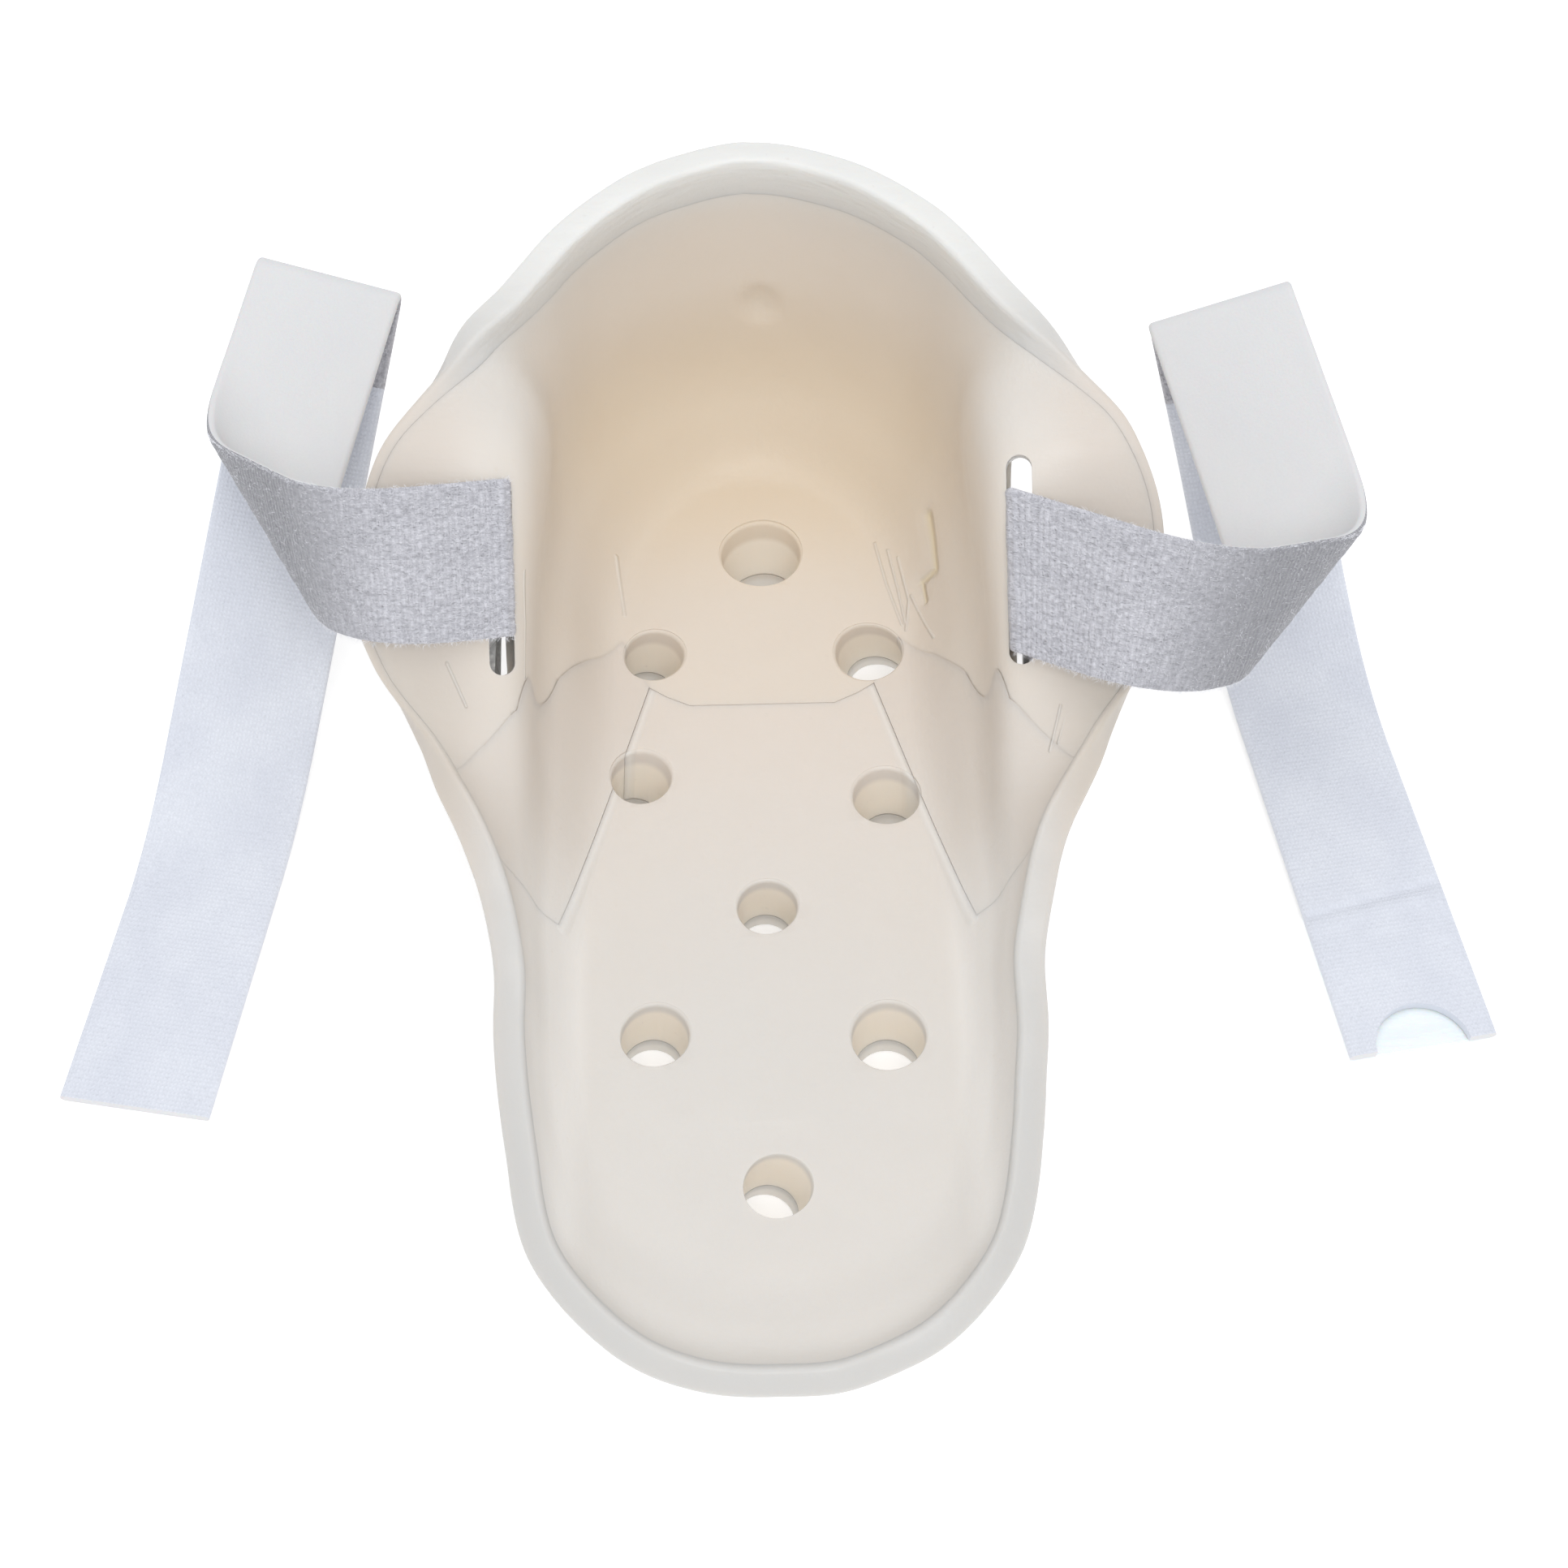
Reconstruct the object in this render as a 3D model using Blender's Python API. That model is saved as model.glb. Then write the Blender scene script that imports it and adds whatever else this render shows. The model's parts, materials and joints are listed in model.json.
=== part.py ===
"""Low ankle foot orthosis: a moulded shell with a foam liner and two slotted ankle straps.

Metres, +Z up, toe towards -Y, heel towards +Y. The origin is the middle of the sole's flat underside.
Lengths below are in millimetres and turned into metres when a mesh is made.
"""

import math

import bmesh
import bpy
import numpy as np
from mathutils import Matrix, Vector

MM = 0.001

# Gap between neighbouring pieces, and the thickness of each layer.
GAP = 0.3
WALL = 4.8
LINER_WALL = 2.4
LINER_EDGE = 0.8
SOLE_SHELL = 3.0
FLOOR_TOE = 12.0
FLOOR_HEEL = 14.5
FLOOR_TOE_Y = -75.5
FLOOR_HEEL_Y = 76.0

# How far the liner stops short of the shell's edge: along the sides, and at the back of the heel.
LINER_INSET = 1.6
LINER_INSET_HEEL = 7.5
INSET_GROWS_FROM_Y = 30.0
INSET_GROWS_OVER = 45.0
SKIVE = 7.0
FILLET_END_U = 1.15  # how far up the wall the fillet between floor and wall reaches, in guides

# The inner surface on the right side, from the middle of the toe round to the middle of the heel:
# edge of the floor (x, y), low wall, high wall and rim (x, y, z).
GUIDES = (
    ((0.0, -75.5), (0.0, -83.0, 12.8), (0.0, -88.5, 14.0), (0.0, -92.0, 16.8)),
    ((8.0, -74.8), (10.0, -82.0, 12.8), (11.2, -87.5, 14.0), (12.0, -90.6, 17.0)),
    ((16.0, -72.0), (19.5, -78.0, 13.0), (21.8, -82.5, 14.5), (23.0, -85.0, 18.0)),
    ((23.5, -65.0), (28.5, -69.0, 13.6), (31.5, -71.5, 16.0), (33.0, -73.0, 20.0)),
    ((28.0, -54.0), (32.5, -56.0, 14.5), (34.8, -57.2, 18.0), (36.3, -58.0, 23.0)),
    ((30.0, -41.0), (34.5, -41.5, 16.0), (36.7, -42.0, 21.0), (37.8, -42.5, 27.5)),
    ((30.5, -28.0), (35.0, -28.5, 17.0), (37.0, -29.0, 24.0), (38.0, -29.0, 33.0)),
    ((29.5, -14.0), (35.5, -14.5, 19.0), (39.0, -14.5, 30.0), (43.0, -13.0, 40.0)),
    ((27.5, -2.0), (35.0, -2.5, 20.0), (40.6, 0.5, 35.0), (53.0, 3.0, 42.5)),
    ((26.0, 8.0), (34.8, 9.5, 22.0), (41.2, 12.2, 46.2), (62.3, 14.0, 47.5)),
    ((24.5, 20.0), (34.5, 22.0, 24.5), (40.8, 23.4, 58.8), (64.3, 24.5, 59.0)),
    ((24.0, 33.0), (34.0, 35.0, 27.0), (40.4, 34.6, 71.5), (58.5, 36.5, 73.5)),
    ((24.0, 46.0), (33.0, 49.5, 27.0), (38.6, 50.5, 72.0), (47.9, 49.4, 78.0)),
    ((21.5, 57.0), (30.0, 63.5, 26.5), (34.2, 65.5, 63.5), (38.0, 60.9, 78.6)),
    ((16.5, 67.0), (23.5, 75.5, 25.5), (26.8, 79.0, 59.0), (27.2, 76.3, 79.2)),
    ((9.0, 74.0), (12.5, 84.0, 25.0), (14.0, 88.0, 54.0), (13.3, 87.6, 79.5)),
    ((0.0, 76.0), (0.0, 87.0, 25.0), (0.0, 91.3, 53.0), (0.0, 91.6, 79.5)),
)
STEPS_ROUND = 3  # stations between two guides

# Drilled holes: x, y, diameter, and how far the lower end is shifted in x and y.
HOLES = (
    (0.5, 61.0, 14.0, 0.3, 0.8),
    (-18.6, 39.3, 10.2, -2.0, 1.0),
    (18.8, 39.0, 11.6, 1.8, 2.4),
    (-20.8, 14.2, 10.2, -2.2, 0.0),
    (20.5, 9.4, 11.0, 0.3, 1.0),
    (0.0, -11.6, 9.8, 0.0, 0.6),
    (-18.4, -34.6, 10.8, -0.8, 1.6),
    (18.8, -35.6, 11.8, 0.0, 1.0),
    (0.6, -60.8, 10.6, -2.2, 1.6),
)
HOLE_SIDES = 18
HOLE_OVERRUN = (6.0, 2.0)  # how far a hole's cutter goes past the sole, above and below

# Strap slots: ends on the right side, width, and the way they are cut through the wall.
SLOT_LOW = (41.2, 12.4, 46.4)
SLOT_HIGH = (40.4, 34.5, 71.4)
SLOT_WIDTH = 4.0
SLOT_CUT = (-0.5, -0.42, 0.75)
SLOT_REACH = 16.0

# Shallow round recess in the back of the heel wall.
DIMPLE_AT = (1.5, 84.6, 47.0)
DIMPLE_RADIUS = 8.0

# Seams of the liner on the right side, in plan.
HEEL_SEAM = (
    (0.0, 29.6),
    (16.0, 29.6),
    (20.0, 32.4),
    (22.5, 34.6),
    (34.0, 24.0),
    (46.0, 4.0),
    (53.0, -8.0),
    (90.0, -10.0),
)
FLOOR_SEAM = ((20.0, 32.4), (33.8, -15.0), (90.0, -16.0))
BEYOND_X, BEYOND_Y, BEYOND_Z = 90.0, 140.0, 140.0  # clear of the whole object

# Straps.
STRAP_WIDTH = 25.0
STRAP_THICK = 1.6
FOLD_RADIUS = 2.4
STRAP_COLUMNS = 6
END_EASE = 24.0  # length over which a slanted end's rows come back square
LONGEST_STEP = 14.0
SHORTEST_STEP = 0.7
DEGREES_PER_STEP = 12.0


def material(name, color, rough, through):
    made = bpy.data.materials.new(name)
    made.use_nodes = True
    shader = made.node_tree.nodes["Principled BSDF"]
    shader.inputs["Base Color"].default_value = (*color, 1.0)
    shader.inputs["Roughness"].default_value = rough
    shader.inputs["Subsurface Weight"].default_value = through
    made.diffuse_color = (*color, 1.0)
    return made


def mesh_object(name, points, faces, mat=None, origin=(0.0, 0.0, 0.0)):
    """A mesh from points in millimetres, with its origin at the given point."""
    mesh = bpy.data.meshes.new(name)
    points = (np.array(points, float) - np.array(origin, float)) * MM
    mesh.from_pydata([tuple(p) for p in points.tolist()], [], [tuple(f) for f in faces])
    build = bmesh.new()
    build.from_mesh(mesh)
    bmesh.ops.recalc_face_normals(build, faces=build.faces[:])
    build.to_mesh(mesh)
    build.free()
    obj = bpy.data.objects.new(name, mesh)
    obj.location = Vector(origin) * MM
    bpy.context.scene.collection.objects.link(obj)
    if mat:
        mesh.materials.append(mat)
    return obj


def hide_cutter(obj):
    obj.hide_render = True
    obj.display_type = "WIRE"
    return obj


def boolean(obj, other, operation, name):
    step = obj.modifiers.new(name, "BOOLEAN")
    step.operation = operation
    step.solver = "EXACT"
    step.object = other


def smoothed(keys, steps):
    """A closed Catmull-Rom curve through the keys, with the given steps between two of them."""
    keys = np.array(keys, float)
    before, after, further = np.roll(keys, 1, 0), np.roll(keys, -1, 0), np.roll(keys, -2, 0)
    rows = []
    for k in range(len(keys)):
        for t in np.arange(steps) / steps:
            a = -0.5 * t + t * t - 0.5 * t**3
            b = 1.0 - 2.5 * t * t + 1.5 * t**3
            c = 0.5 * t + 2.0 * t * t - 1.5 * t**3
            d = 0.5 * (t**3 - t * t)
            rows.append(a * before[k] + b * keys[k] + c * after[k] + d * further[k])
    return np.array(rows)


def floor_height(y):
    along = (y - FLOOR_TOE_Y) / (FLOOR_HEEL_Y - FLOOR_TOE_Y)
    return FLOOR_TOE + (FLOOR_HEEL - FLOOR_TOE) * along


def guide_curves():
    """The four guides as closed curves, counter-clockwise from the toe. Shape (stations, 4, 3)."""
    curves = []
    for row in range(4):
        right = []
        for guide in GUIDES:
            x, y = guide[row][:2]
            right.append((x, y, guide[row][2] if row else floor_height(y)))
        left = [(-x, y, z) for x, y, z in reversed(right[1:-1])]
        curves.append(smoothed(right + left, STEPS_ROUND))
    return np.stack(curves, 1)


CURVES = guide_curves()
STATIONS = len(CURVES)


def inner_surface(u):
    """Points of the inner surface: u is 0 at the floor's edge, 1 and 2 on the wall guides, 3 at the rim."""
    u = np.broadcast_to(u, (STATIONS, np.shape(u)[-1]))
    p0, p1, p2, p3 = (CURVES[:, k] for k in range(4))
    d0, d1, d2 = (np.linalg.norm(b - a, axis=1)[:, None] for a, b in ((p0, p1), (p1, p2), (p2, p3)))
    out = p1 - p0
    out[:, 2] = 0.0
    m0 = out / np.linalg.norm(out, axis=1)[:, None]
    m1 = ((p1 - p0) / d0 * d1 + (p2 - p1) / d1 * d0) / (d0 + d1)
    m2 = ((p2 - p1) / d1 * d2 + (p3 - p2) / d2 * d1) / (d1 + d2)
    m3 = 1.5 * (p3 - p2) / d2 - 0.5 * m2
    points = np.zeros(u.shape + (3,))
    for k, (a, b, ma, mb, d) in enumerate(((p0, p1, m0, m1, d0), (p1, p2, m1, m2, d1), (p2, p3, m2, m3, d2))):
        inside = (u >= k) & ((u < k + 1) | (k == 2))
        t = (u - k)[..., None]
        h00 = 2 * t**3 - 3 * t**2 + 1
        h10 = t**3 - 2 * t**2 + t
        h01 = 3 * t**2 - 2 * t**3
        h11 = t**3 - t**2
        here = h00 * a[:, None] + h10 * (ma * d)[:, None] + h01 * b[:, None] + h11 * (mb * d)[:, None]
        points = np.where(inside[..., None], here, points)
    return points


def outward_normals(u):
    """Unit normals of the inner surface, pointing away from the foot."""
    step = 0.02
    low = np.clip(u, 0.0, 3.0 - step)
    along_u = inner_surface(low + step) - inner_surface(low)
    here = inner_surface(u)
    along_s = np.roll(here, -1, 0) - np.roll(here, 1, 0)
    normal = np.cross(along_s, along_u)
    return normal / np.linalg.norm(normal, axis=2)[..., None]


def fillet(u):
    return np.clip(1.0 - u / FILLET_END_U, 0.0, 1.0) ** 2


def rim_inset():
    """How far below the rim the liner ends at each station, in millimetres."""
    y = CURVES[:, 3, 1]
    share = np.clip((y - INSET_GROWS_FROM_Y) / INSET_GROWS_OVER, 0.0, 1.0)
    share = share * share * (3.0 - 2.0 * share)
    return LINER_INSET + (LINER_INSET_HEEL - LINER_INSET) * share


def last_wall():
    return np.linalg.norm(CURVES[:, 3] - CURVES[:, 2], axis=1)


def liner_thickness(u):
    """Liner thickness at each (station, u): thick under the foot, skived towards its edge."""
    floor = CURVES[:, 0, 2][:, None]
    base = LINER_WALL + (floor - SOLE_SHELL - GAP - LINER_WALL) * fillet(u)
    length = last_wall()[:, None]
    left = (3.0 - u) * length - rim_inset()[:, None]
    share = np.clip(left / np.minimum(SKIVE, 0.8 * length), 0.0, 1.0)
    return LINER_EDGE + (base - LINER_EDGE) * np.where(u > 2.0, share, 1.0)


def wall_thickness(u):
    floor = CURVES[:, 0, 2][:, None]
    return WALL + (floor - WALL) * fillet(u)


def offset_surface(u, distance, bottom=None):
    points = inner_surface(u) + outward_normals(u) * distance[..., None]
    if bottom is not None:
        points[:, 0, :2] = CURVES[:, 0, :2]
        points[:, 0, 2] = bottom
    return points


def layer(name, inner, outer, mat):
    """A closed bowl between an inner and an outer grid of rings, each running from floor to rim.

    Both grids split their quads along the same diagonal, so that neighbouring layers stay apart.
    """
    rings = [inner[:, k] for k in range(inner.shape[1])]
    rings += [outer[:, k] for k in reversed(range(outer.shape[1]))]
    points = np.concatenate(rings)
    faces = []
    for k in range(len(rings) - 1):
        for s in range(STATIONS):
            n = (s + 1) % STATIONS
            a, b = k * STATIONS, (k + 1) * STATIONS
            if k < inner.shape[1]:
                faces += [(a + s, a + n, b + n), (a + s, b + n, b + s)]
            else:
                faces += [(a + s, a + n, b + s), (a + n, b + n, b + s)]
    faces.append(tuple(reversed(range(STATIONS))))
    top = (len(rings) - 1) * STATIONS
    faces.append(tuple(top + s for s in range(STATIONS)))
    return mesh_object(name, points, faces, mat)


FILLET_U = (0.0, 0.2, 0.42, 0.68, 1.0)
WALL_U = (1.35, 1.7, 2.0)
UPPER_SHARES = (0.34, 0.67, 1.0)


def liner_rows():
    """The u of each ring of the liner, the last of them at its edge."""
    end = 3.0 - rim_inset() / last_wall()
    low = np.broadcast_to(np.array(FILLET_U + WALL_U), (STATIONS, len(FILLET_U) + len(WALL_U)))
    high = 2.0 + (end[:, None] - 2.0) * np.array(UPPER_SHARES)
    return np.concatenate((low, high), 1)


def shell_solid(mat):
    u = np.concatenate((liner_rows(), np.full((STATIONS, 1), 3.0)), 1)
    inner = offset_surface(u, liner_thickness(u) + GAP, SOLE_SHELL)
    outer = offset_surface(u, wall_thickness(u), 0.0)
    return layer("outer_shell", inner, outer, mat)


def liner_solid(name, mat):
    u = liner_rows()
    inner = inner_surface(u)
    outer = offset_surface(u, liner_thickness(u), SOLE_SHELL + GAP)
    return layer(name, inner, outer, mat)


def round_cutter(name, base, tip, radius, sides=HOLE_SIDES):
    base, tip = Vector(base), Vector(tip)
    axis = tip - base
    turn = axis.to_track_quat("Z", "Y").to_matrix().to_4x4()
    build = bmesh.new()
    bmesh.ops.create_cone(
        build,
        cap_ends=True,
        segments=sides,
        radius1=radius * MM,
        radius2=radius * MM,
        depth=axis.length * MM,
        matrix=Matrix.Translation((base + tip) * 0.5 * MM) @ turn,
    )
    mesh = bpy.data.meshes.new(name)
    build.to_mesh(mesh)
    build.free()
    obj = bpy.data.objects.new(name, mesh)
    bpy.context.scene.collection.objects.link(obj)
    return hide_cutter(obj)


def hole_cutters():
    cutters = []
    for k, (x, y, diameter, dx, dy) in enumerate(HOLES):
        top = floor_height(y)
        slope = Vector((dx, dy, -top)) / top
        base = Vector((x, y, top)) + slope * (top + HOLE_OVERRUN[1])
        tip = Vector((x, y, top)) - slope * HOLE_OVERRUN[0]
        cutters.append(round_cutter(f"hole_cutter_{k}", base, tip, diameter / 2))
    return cutters


def prism(name, outline, direction, reach):
    """A prism from a planar outline, both ways along a direction."""
    direction = np.array(direction, float)
    direction /= np.linalg.norm(direction)
    outline = np.array(outline, float)
    points = np.concatenate((outline - direction * reach, outline + direction * reach))
    n = len(outline)
    faces = [tuple(range(n)), tuple(reversed(range(n, 2 * n)))]
    faces += [(k, n + k, n + (k + 1) % n, (k + 1) % n) for k in range(n)]
    return hide_cutter(mesh_object(name, points, faces))


def slot_frame(side):
    """Ends of the slot's centre line, its direction, the cut's direction and the way across it."""
    flip = np.array((side, 1.0, 1.0))
    low, high = np.array(SLOT_LOW) * flip, np.array(SLOT_HIGH) * flip
    along = (high - low) / np.linalg.norm(high - low)
    cut = np.array(SLOT_CUT) * flip
    cut -= along * np.dot(cut, along)
    cut /= np.linalg.norm(cut)
    across = np.cross(along, cut)
    across *= side * np.sign(across[0])
    return low, high, along, cut, across


def slot_cutter(name, side):
    low, high, along, cut, across = slot_frame(side)
    radius = SLOT_WIDTH / 2
    outline = []
    for centre, turn in ((high - along * radius, 0.0), (low + along * radius, math.pi)):
        for k in range(9):
            angle = turn + math.pi * k / 8
            outline.append(centre + radius * (across * math.cos(angle) + along * math.sin(angle)))
    return prism(name, outline, cut, SLOT_REACH)


def ball_cutter(name, centre, radius):
    build = bmesh.new()
    bmesh.ops.create_icosphere(
        build, subdivisions=3, radius=radius * MM, matrix=Matrix.Translation(Vector(centre) * MM)
    )
    mesh = bpy.data.meshes.new(name)
    build.to_mesh(mesh)
    build.free()
    obj = bpy.data.objects.new(name, mesh)
    bpy.context.scene.collection.objects.link(obj)
    return hide_cutter(obj)


def shifted(line, distance):
    """A polyline moved sideways: to its left for a positive distance."""
    line = np.array(line, float)
    moved = []
    for k in range(len(line)):
        before = line[k] - line[k - 1] if k else line[1] - line[0]
        after = line[k + 1] - line[k] if k + 1 < len(line) else before
        before, after = before / np.linalg.norm(before), after / np.linalg.norm(after)
        n1, n2 = np.array((-before[1], before[0])), np.array((-after[1], after[0]))
        bisector = (n1 + n2) / (1.0 + np.dot(n1, n2))
        moved.append(line[k] + bisector * distance)
    return moved


def plan_prism(name, outline):
    return prism(name, [(x, y, 0.0) for x, y in outline], (0.0, 0.0, 1.0), BEYOND_Z)


def liner_regions():
    """Plan outlines of the liner's pieces, with the gap left between them."""
    seam = shifted(HEEL_SEAM, GAP / 2)
    heel = [(-x, y) for x, y in reversed(seam[1:])] + [tuple(p) for p in seam]
    heel += [(BEYOND_X, BEYOND_Y), (-BEYOND_X, BEYOND_Y)]

    below = shifted(HEEL_SEAM, -GAP / 2)
    inside = shifted(FLOOR_SEAM, -GAP / 2)
    outside = shifted(FLOOR_SEAM, GAP / 2)
    corner = (below[2] + inside[0]) / 2
    gusset = [tuple(p) for p in outside[1:][::-1]]
    start = (below[2] + below[3]) / 2
    gusset += [(outside[0] * 0.6 + start * 0.4)] + [tuple(p) for p in below[3:]]

    right = [tuple(p) for p in below[:2]] + [(corner[0] - GAP, corner[1] - GAP)]
    right += [tuple(p) for p in inside[1:]]
    floor = [(-x, y) for x, y in reversed(right[1:])] + right
    floor += [(BEYOND_X, -BEYOND_Y), (-BEYOND_X, -BEYOND_Y)]
    return heel, floor, gusset


def folded(s, t, n, bends):
    """Folds a flat ribbon. s runs along it, t across it and n is height above its middle plane.

    Each bend is (position along the ribbon, skew of its axis, angle, radius).
    """
    x, y, z = s.copy(), t.copy(), n.copy()
    for start, skew, angle, radius in reversed(bends):
        cos, sin = math.cos(skew), math.sin(skew)
        sign, turn = math.copysign(1.0, angle), abs(angle)
        first, zone = start * cos, turn * radius
        across, along, height = x * cos - y * sin - first, x * sin + y * cos, z
        flat = s * cos - t * sin - first
        arc = np.clip(flat, 0.0, zone) / radius
        reach = radius - sign * height
        beyond = across - zone
        in_arc = (reach * np.sin(arc), sign * (radius - reach * np.cos(arc)))
        past = (
            radius * math.sin(turn) + beyond * math.cos(turn) - sign * height * math.sin(turn),
            sign * (radius * (1.0 - math.cos(turn)) + beyond * math.sin(turn)) + height * math.cos(turn),
        )
        across = np.where(flat <= 0.0, across, np.where(flat < zone, in_arc[0], past[0]))
        height = np.where(flat <= 0.0, height, np.where(flat < zone, in_arc[1], past[1]))
        x, y, z = (across + first) * cos + along * sin, along * cos - (across + first) * sin, height
    return np.stack((x, y, z), -1)


# Each strap: where its middle line leaves the slot, its direction and its width direction there,
# the skew of its first edge, its bends, its length, and its place along the slot in guides.
STRAPS = {
    "left": {
        "start": (-39.5, 23.7, 61.9),
        "along": (-0.9663, -0.2117, 0.1463),
        "across": (-0.0229, 0.6368, 0.7707),
        "skew": 0.03,
        "bends": ((10.0, 0.206, 1.194, 20.0), (42.0, 0.779, 1.8, 14.0), (103.6, -0.043, -2.832, FOLD_RADIUS)),
        "length": 258.2,
        "rest": 1.0,
        "at": 10.14,
    },
    "right": {
        "start": (41.4, 20.7, 59.0),
        "along": (0.8833, -0.4605, 0.0875),
        "across": (0.2275, 0.5843, 0.7790),
        "skew": -0.29,
        "bends": ((13.7, 0.174, 1.142, 20.5), (45.3, 0.579, 1.8, 14.0), (113.8, -0.105, -2.366, FOLD_RADIUS)),
        "length": 262.3,
        "rest": 2.1,
        "at": 9.87,
    },
}
LANDING_RADIUS = 45.0
LANDING_PROBE = 20.0  # past the top bend, where the strap's fall is measured
NOTCH_RADIUS = 8.0
NOTCH_BEYOND = 0.4  # the notch's centre is this far past the strap's end
TAB_LENGTH = 28.0
TAB_THICK = 0.9
TAB_INSET = 0.4
PATCH_THICK = 1.2
STRAP_GAP = 0.5
ANCHOR_TURN_U = 1.66
ANCHOR_REACH = 0.73  # half the strap's width, in guides along the slot
PATCH_GAP = 0.8  # the glue under a patch, wide enough for the wall's facets
PATCH_U = (1.34, 1.42, 1.5, 1.58)
SLOT_PASS = (-8.6, -5.6, -2.4, 0.5)  # the strap's middle on its way through the slot


def strap_frame(strap):
    along, across = np.array(strap["along"]), np.array(strap["across"])
    across = across - along * np.dot(across, along)
    along, across = along / np.linalg.norm(along), across / np.linalg.norm(across)
    away = np.cross(along, across)
    away *= -math.copysign(1.0, away[2])
    return np.array(strap["start"]), along, across, away


def strap_points(strap, bends, s, t, n):
    start, along, across, away = strap_frame(strap)
    s, t, n = (np.array(v, float) for v in np.broadcast_arrays(s, t, n))
    q = folded(s, t, n, bends)
    return start + q[..., 0:1] * along + q[..., 1:2] * across + q[..., 2:3] * away


def landed_bends(strap):
    """The strap's bends, with one more that lays its end flat at the rest height."""
    bends = strap["bends"]
    place, skew, angle, radius = bends[-1]
    s = place + abs(angle) * radius + LANDING_PROBE
    probe = strap_points(strap, bends, [s, s + 1.0, s], [0.0, 0.0, 1.0], 0.0)
    fall, tilt = probe[1, 2] - probe[0, 2], probe[2, 2] - probe[0, 2]
    skew = math.atan2(-tilt, fall)
    skew -= math.pi * round(skew / math.pi)
    slope = math.cos(skew) * fall - math.sin(skew) * tilt
    angle = math.asin(-slope)
    height = strap["rest"] + LANDING_RADIUS * (1.0 - math.cos(angle))
    place = s + (height - probe[0, 2]) / fall
    return bends + ((place, skew, -angle, LANDING_RADIUS),)


def strap_rows(bends, first, last):
    """Positions along the strap, close together in the bends."""
    marks = {first, last}
    for place, skew, angle, radius in bends:
        zone = abs(angle) * radius
        steps = max(4, round(math.degrees(abs(angle)) / DEGREES_PER_STEP))
        spread = STRAP_WIDTH / 2 * abs(math.tan(skew))
        low, high = place - spread * 0.6, place + zone + spread * 0.6
        marks |= set(np.linspace(low, high, steps + 1))
    rows = sorted(m for m in marks if first <= m <= last)
    kept = [rows[0]]
    for row in rows[1:]:
        while row - kept[-1] > LONGEST_STEP:
            kept.append(kept[-1] + (row - kept[-1]) / math.ceil((row - kept[-1]) / LONGEST_STEP))
        if row - kept[-1] > SHORTEST_STEP:
            kept.append(row)
    kept[-1] = last
    return np.array(kept)


def grid_solid(name, top, bottom, mat, origin=(0.0, 0.0, 0.0)):
    """A closed sheet between two grids of points, each (rows, columns, 3)."""
    rows, columns = top.shape[:2]
    points = np.concatenate((top.reshape(-1, 3), bottom.reshape(-1, 3)))
    other = rows * columns
    faces = []
    for r in range(rows - 1):
        for c in range(columns - 1):
            a, b = r * columns + c, (r + 1) * columns + c
            faces.append((a, a + 1, b + 1, b))
            faces.append((other + a, other + b, other + b + 1, other + a + 1))
    border = list(range(columns))
    border += [r * columns + columns - 1 for r in range(1, rows)]
    border += [(rows - 1) * columns + c for c in reversed(range(columns - 1))]
    border += [r * columns for r in reversed(range(1, rows - 1))]
    for k, a in enumerate(border):
        b = border[(k + 1) % len(border)]
        faces.append((a, other + a, other + b, b))
    return mesh_object(name, points, faces, mat, origin)


def strap_sheet(name, strap, bends, rows, skew_first, skew_last, mat, origin):
    t = np.linspace(-STRAP_WIDTH / 2, STRAP_WIDTH / 2, STRAP_COLUMNS + 1)
    s = np.repeat(rows[:, None], len(t), 1)
    length = rows[-1] - rows[0]
    ease_first = np.clip(1.0 - (rows - rows[0]) / min(END_EASE, length), 0.0, 1.0)[:, None]
    ease_last = np.clip(1.0 - (rows[-1] - rows) / min(END_EASE, length), 0.0, 1.0)[:, None]
    s = s + t * skew_first * ease_first + t * skew_last * ease_last
    t = np.repeat(t[None], len(rows), 0)
    half = STRAP_THICK / 2
    top = strap_points(strap, bends, s, t, half)
    bottom = strap_points(strap, bends, s, t, -half)
    return grid_solid(name, top, bottom, mat, origin)


def lift_line(bends):
    """Where the strap's end lifts: the middle of the last bend, and the slope of that line."""
    place, skew, angle, radius = bends[-1]
    return place + abs(angle) * radius / 2 / math.cos(skew), math.tan(skew)


def strap_pieces(side, strap, mat):
    """The strap's run, from the slot over both bends to the ground, and the end that lifts off it."""
    bends = landed_bends(strap)
    middle, skew = lift_line(bends)
    run = strap_rows(bends, GAP, middle - GAP / 2)
    end = strap_rows(bends, middle + GAP / 2, strap["length"])
    hinge = strap_points(strap, bends, middle, 0.0, -STRAP_THICK / 2)
    strap_sheet(f"strap_{side}_run", strap, bends, run, strap["skew"], skew, mat, strap["start"])
    return strap_sheet(f"strap_{side}_end", strap, bends, end, skew, 0.0, mat, hinge), hinge


def at_guide(grid, key, side):
    """A grid's column of points at a place between two guides, on the given side."""
    station = key * STEPS_ROUND
    if side < 0:
        station = STATIONS - station
    low = int(math.floor(station))
    share = station - low
    return grid[low % STATIONS] * (1.0 - share) + grid[(low + 1) % STATIONS] * share


def anchor_keys(key):
    return np.linspace(key - ANCHOR_REACH, key + ANCHOR_REACH, 5)


def anchor_grid(side, key, path):
    """Middle points of a sheet that follows (u, outward offset) pairs over the wall at the slot."""
    u = np.broadcast_to(np.array([p[0] for p in path]), (STATIONS, len(path)))
    offset = np.broadcast_to(np.array([p[1] for p in path]), (STATIONS, len(path)))
    grid = offset_surface(u, offset)
    return np.stack([at_guide(grid, k, side) for k in anchor_keys(key)], 1)


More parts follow.
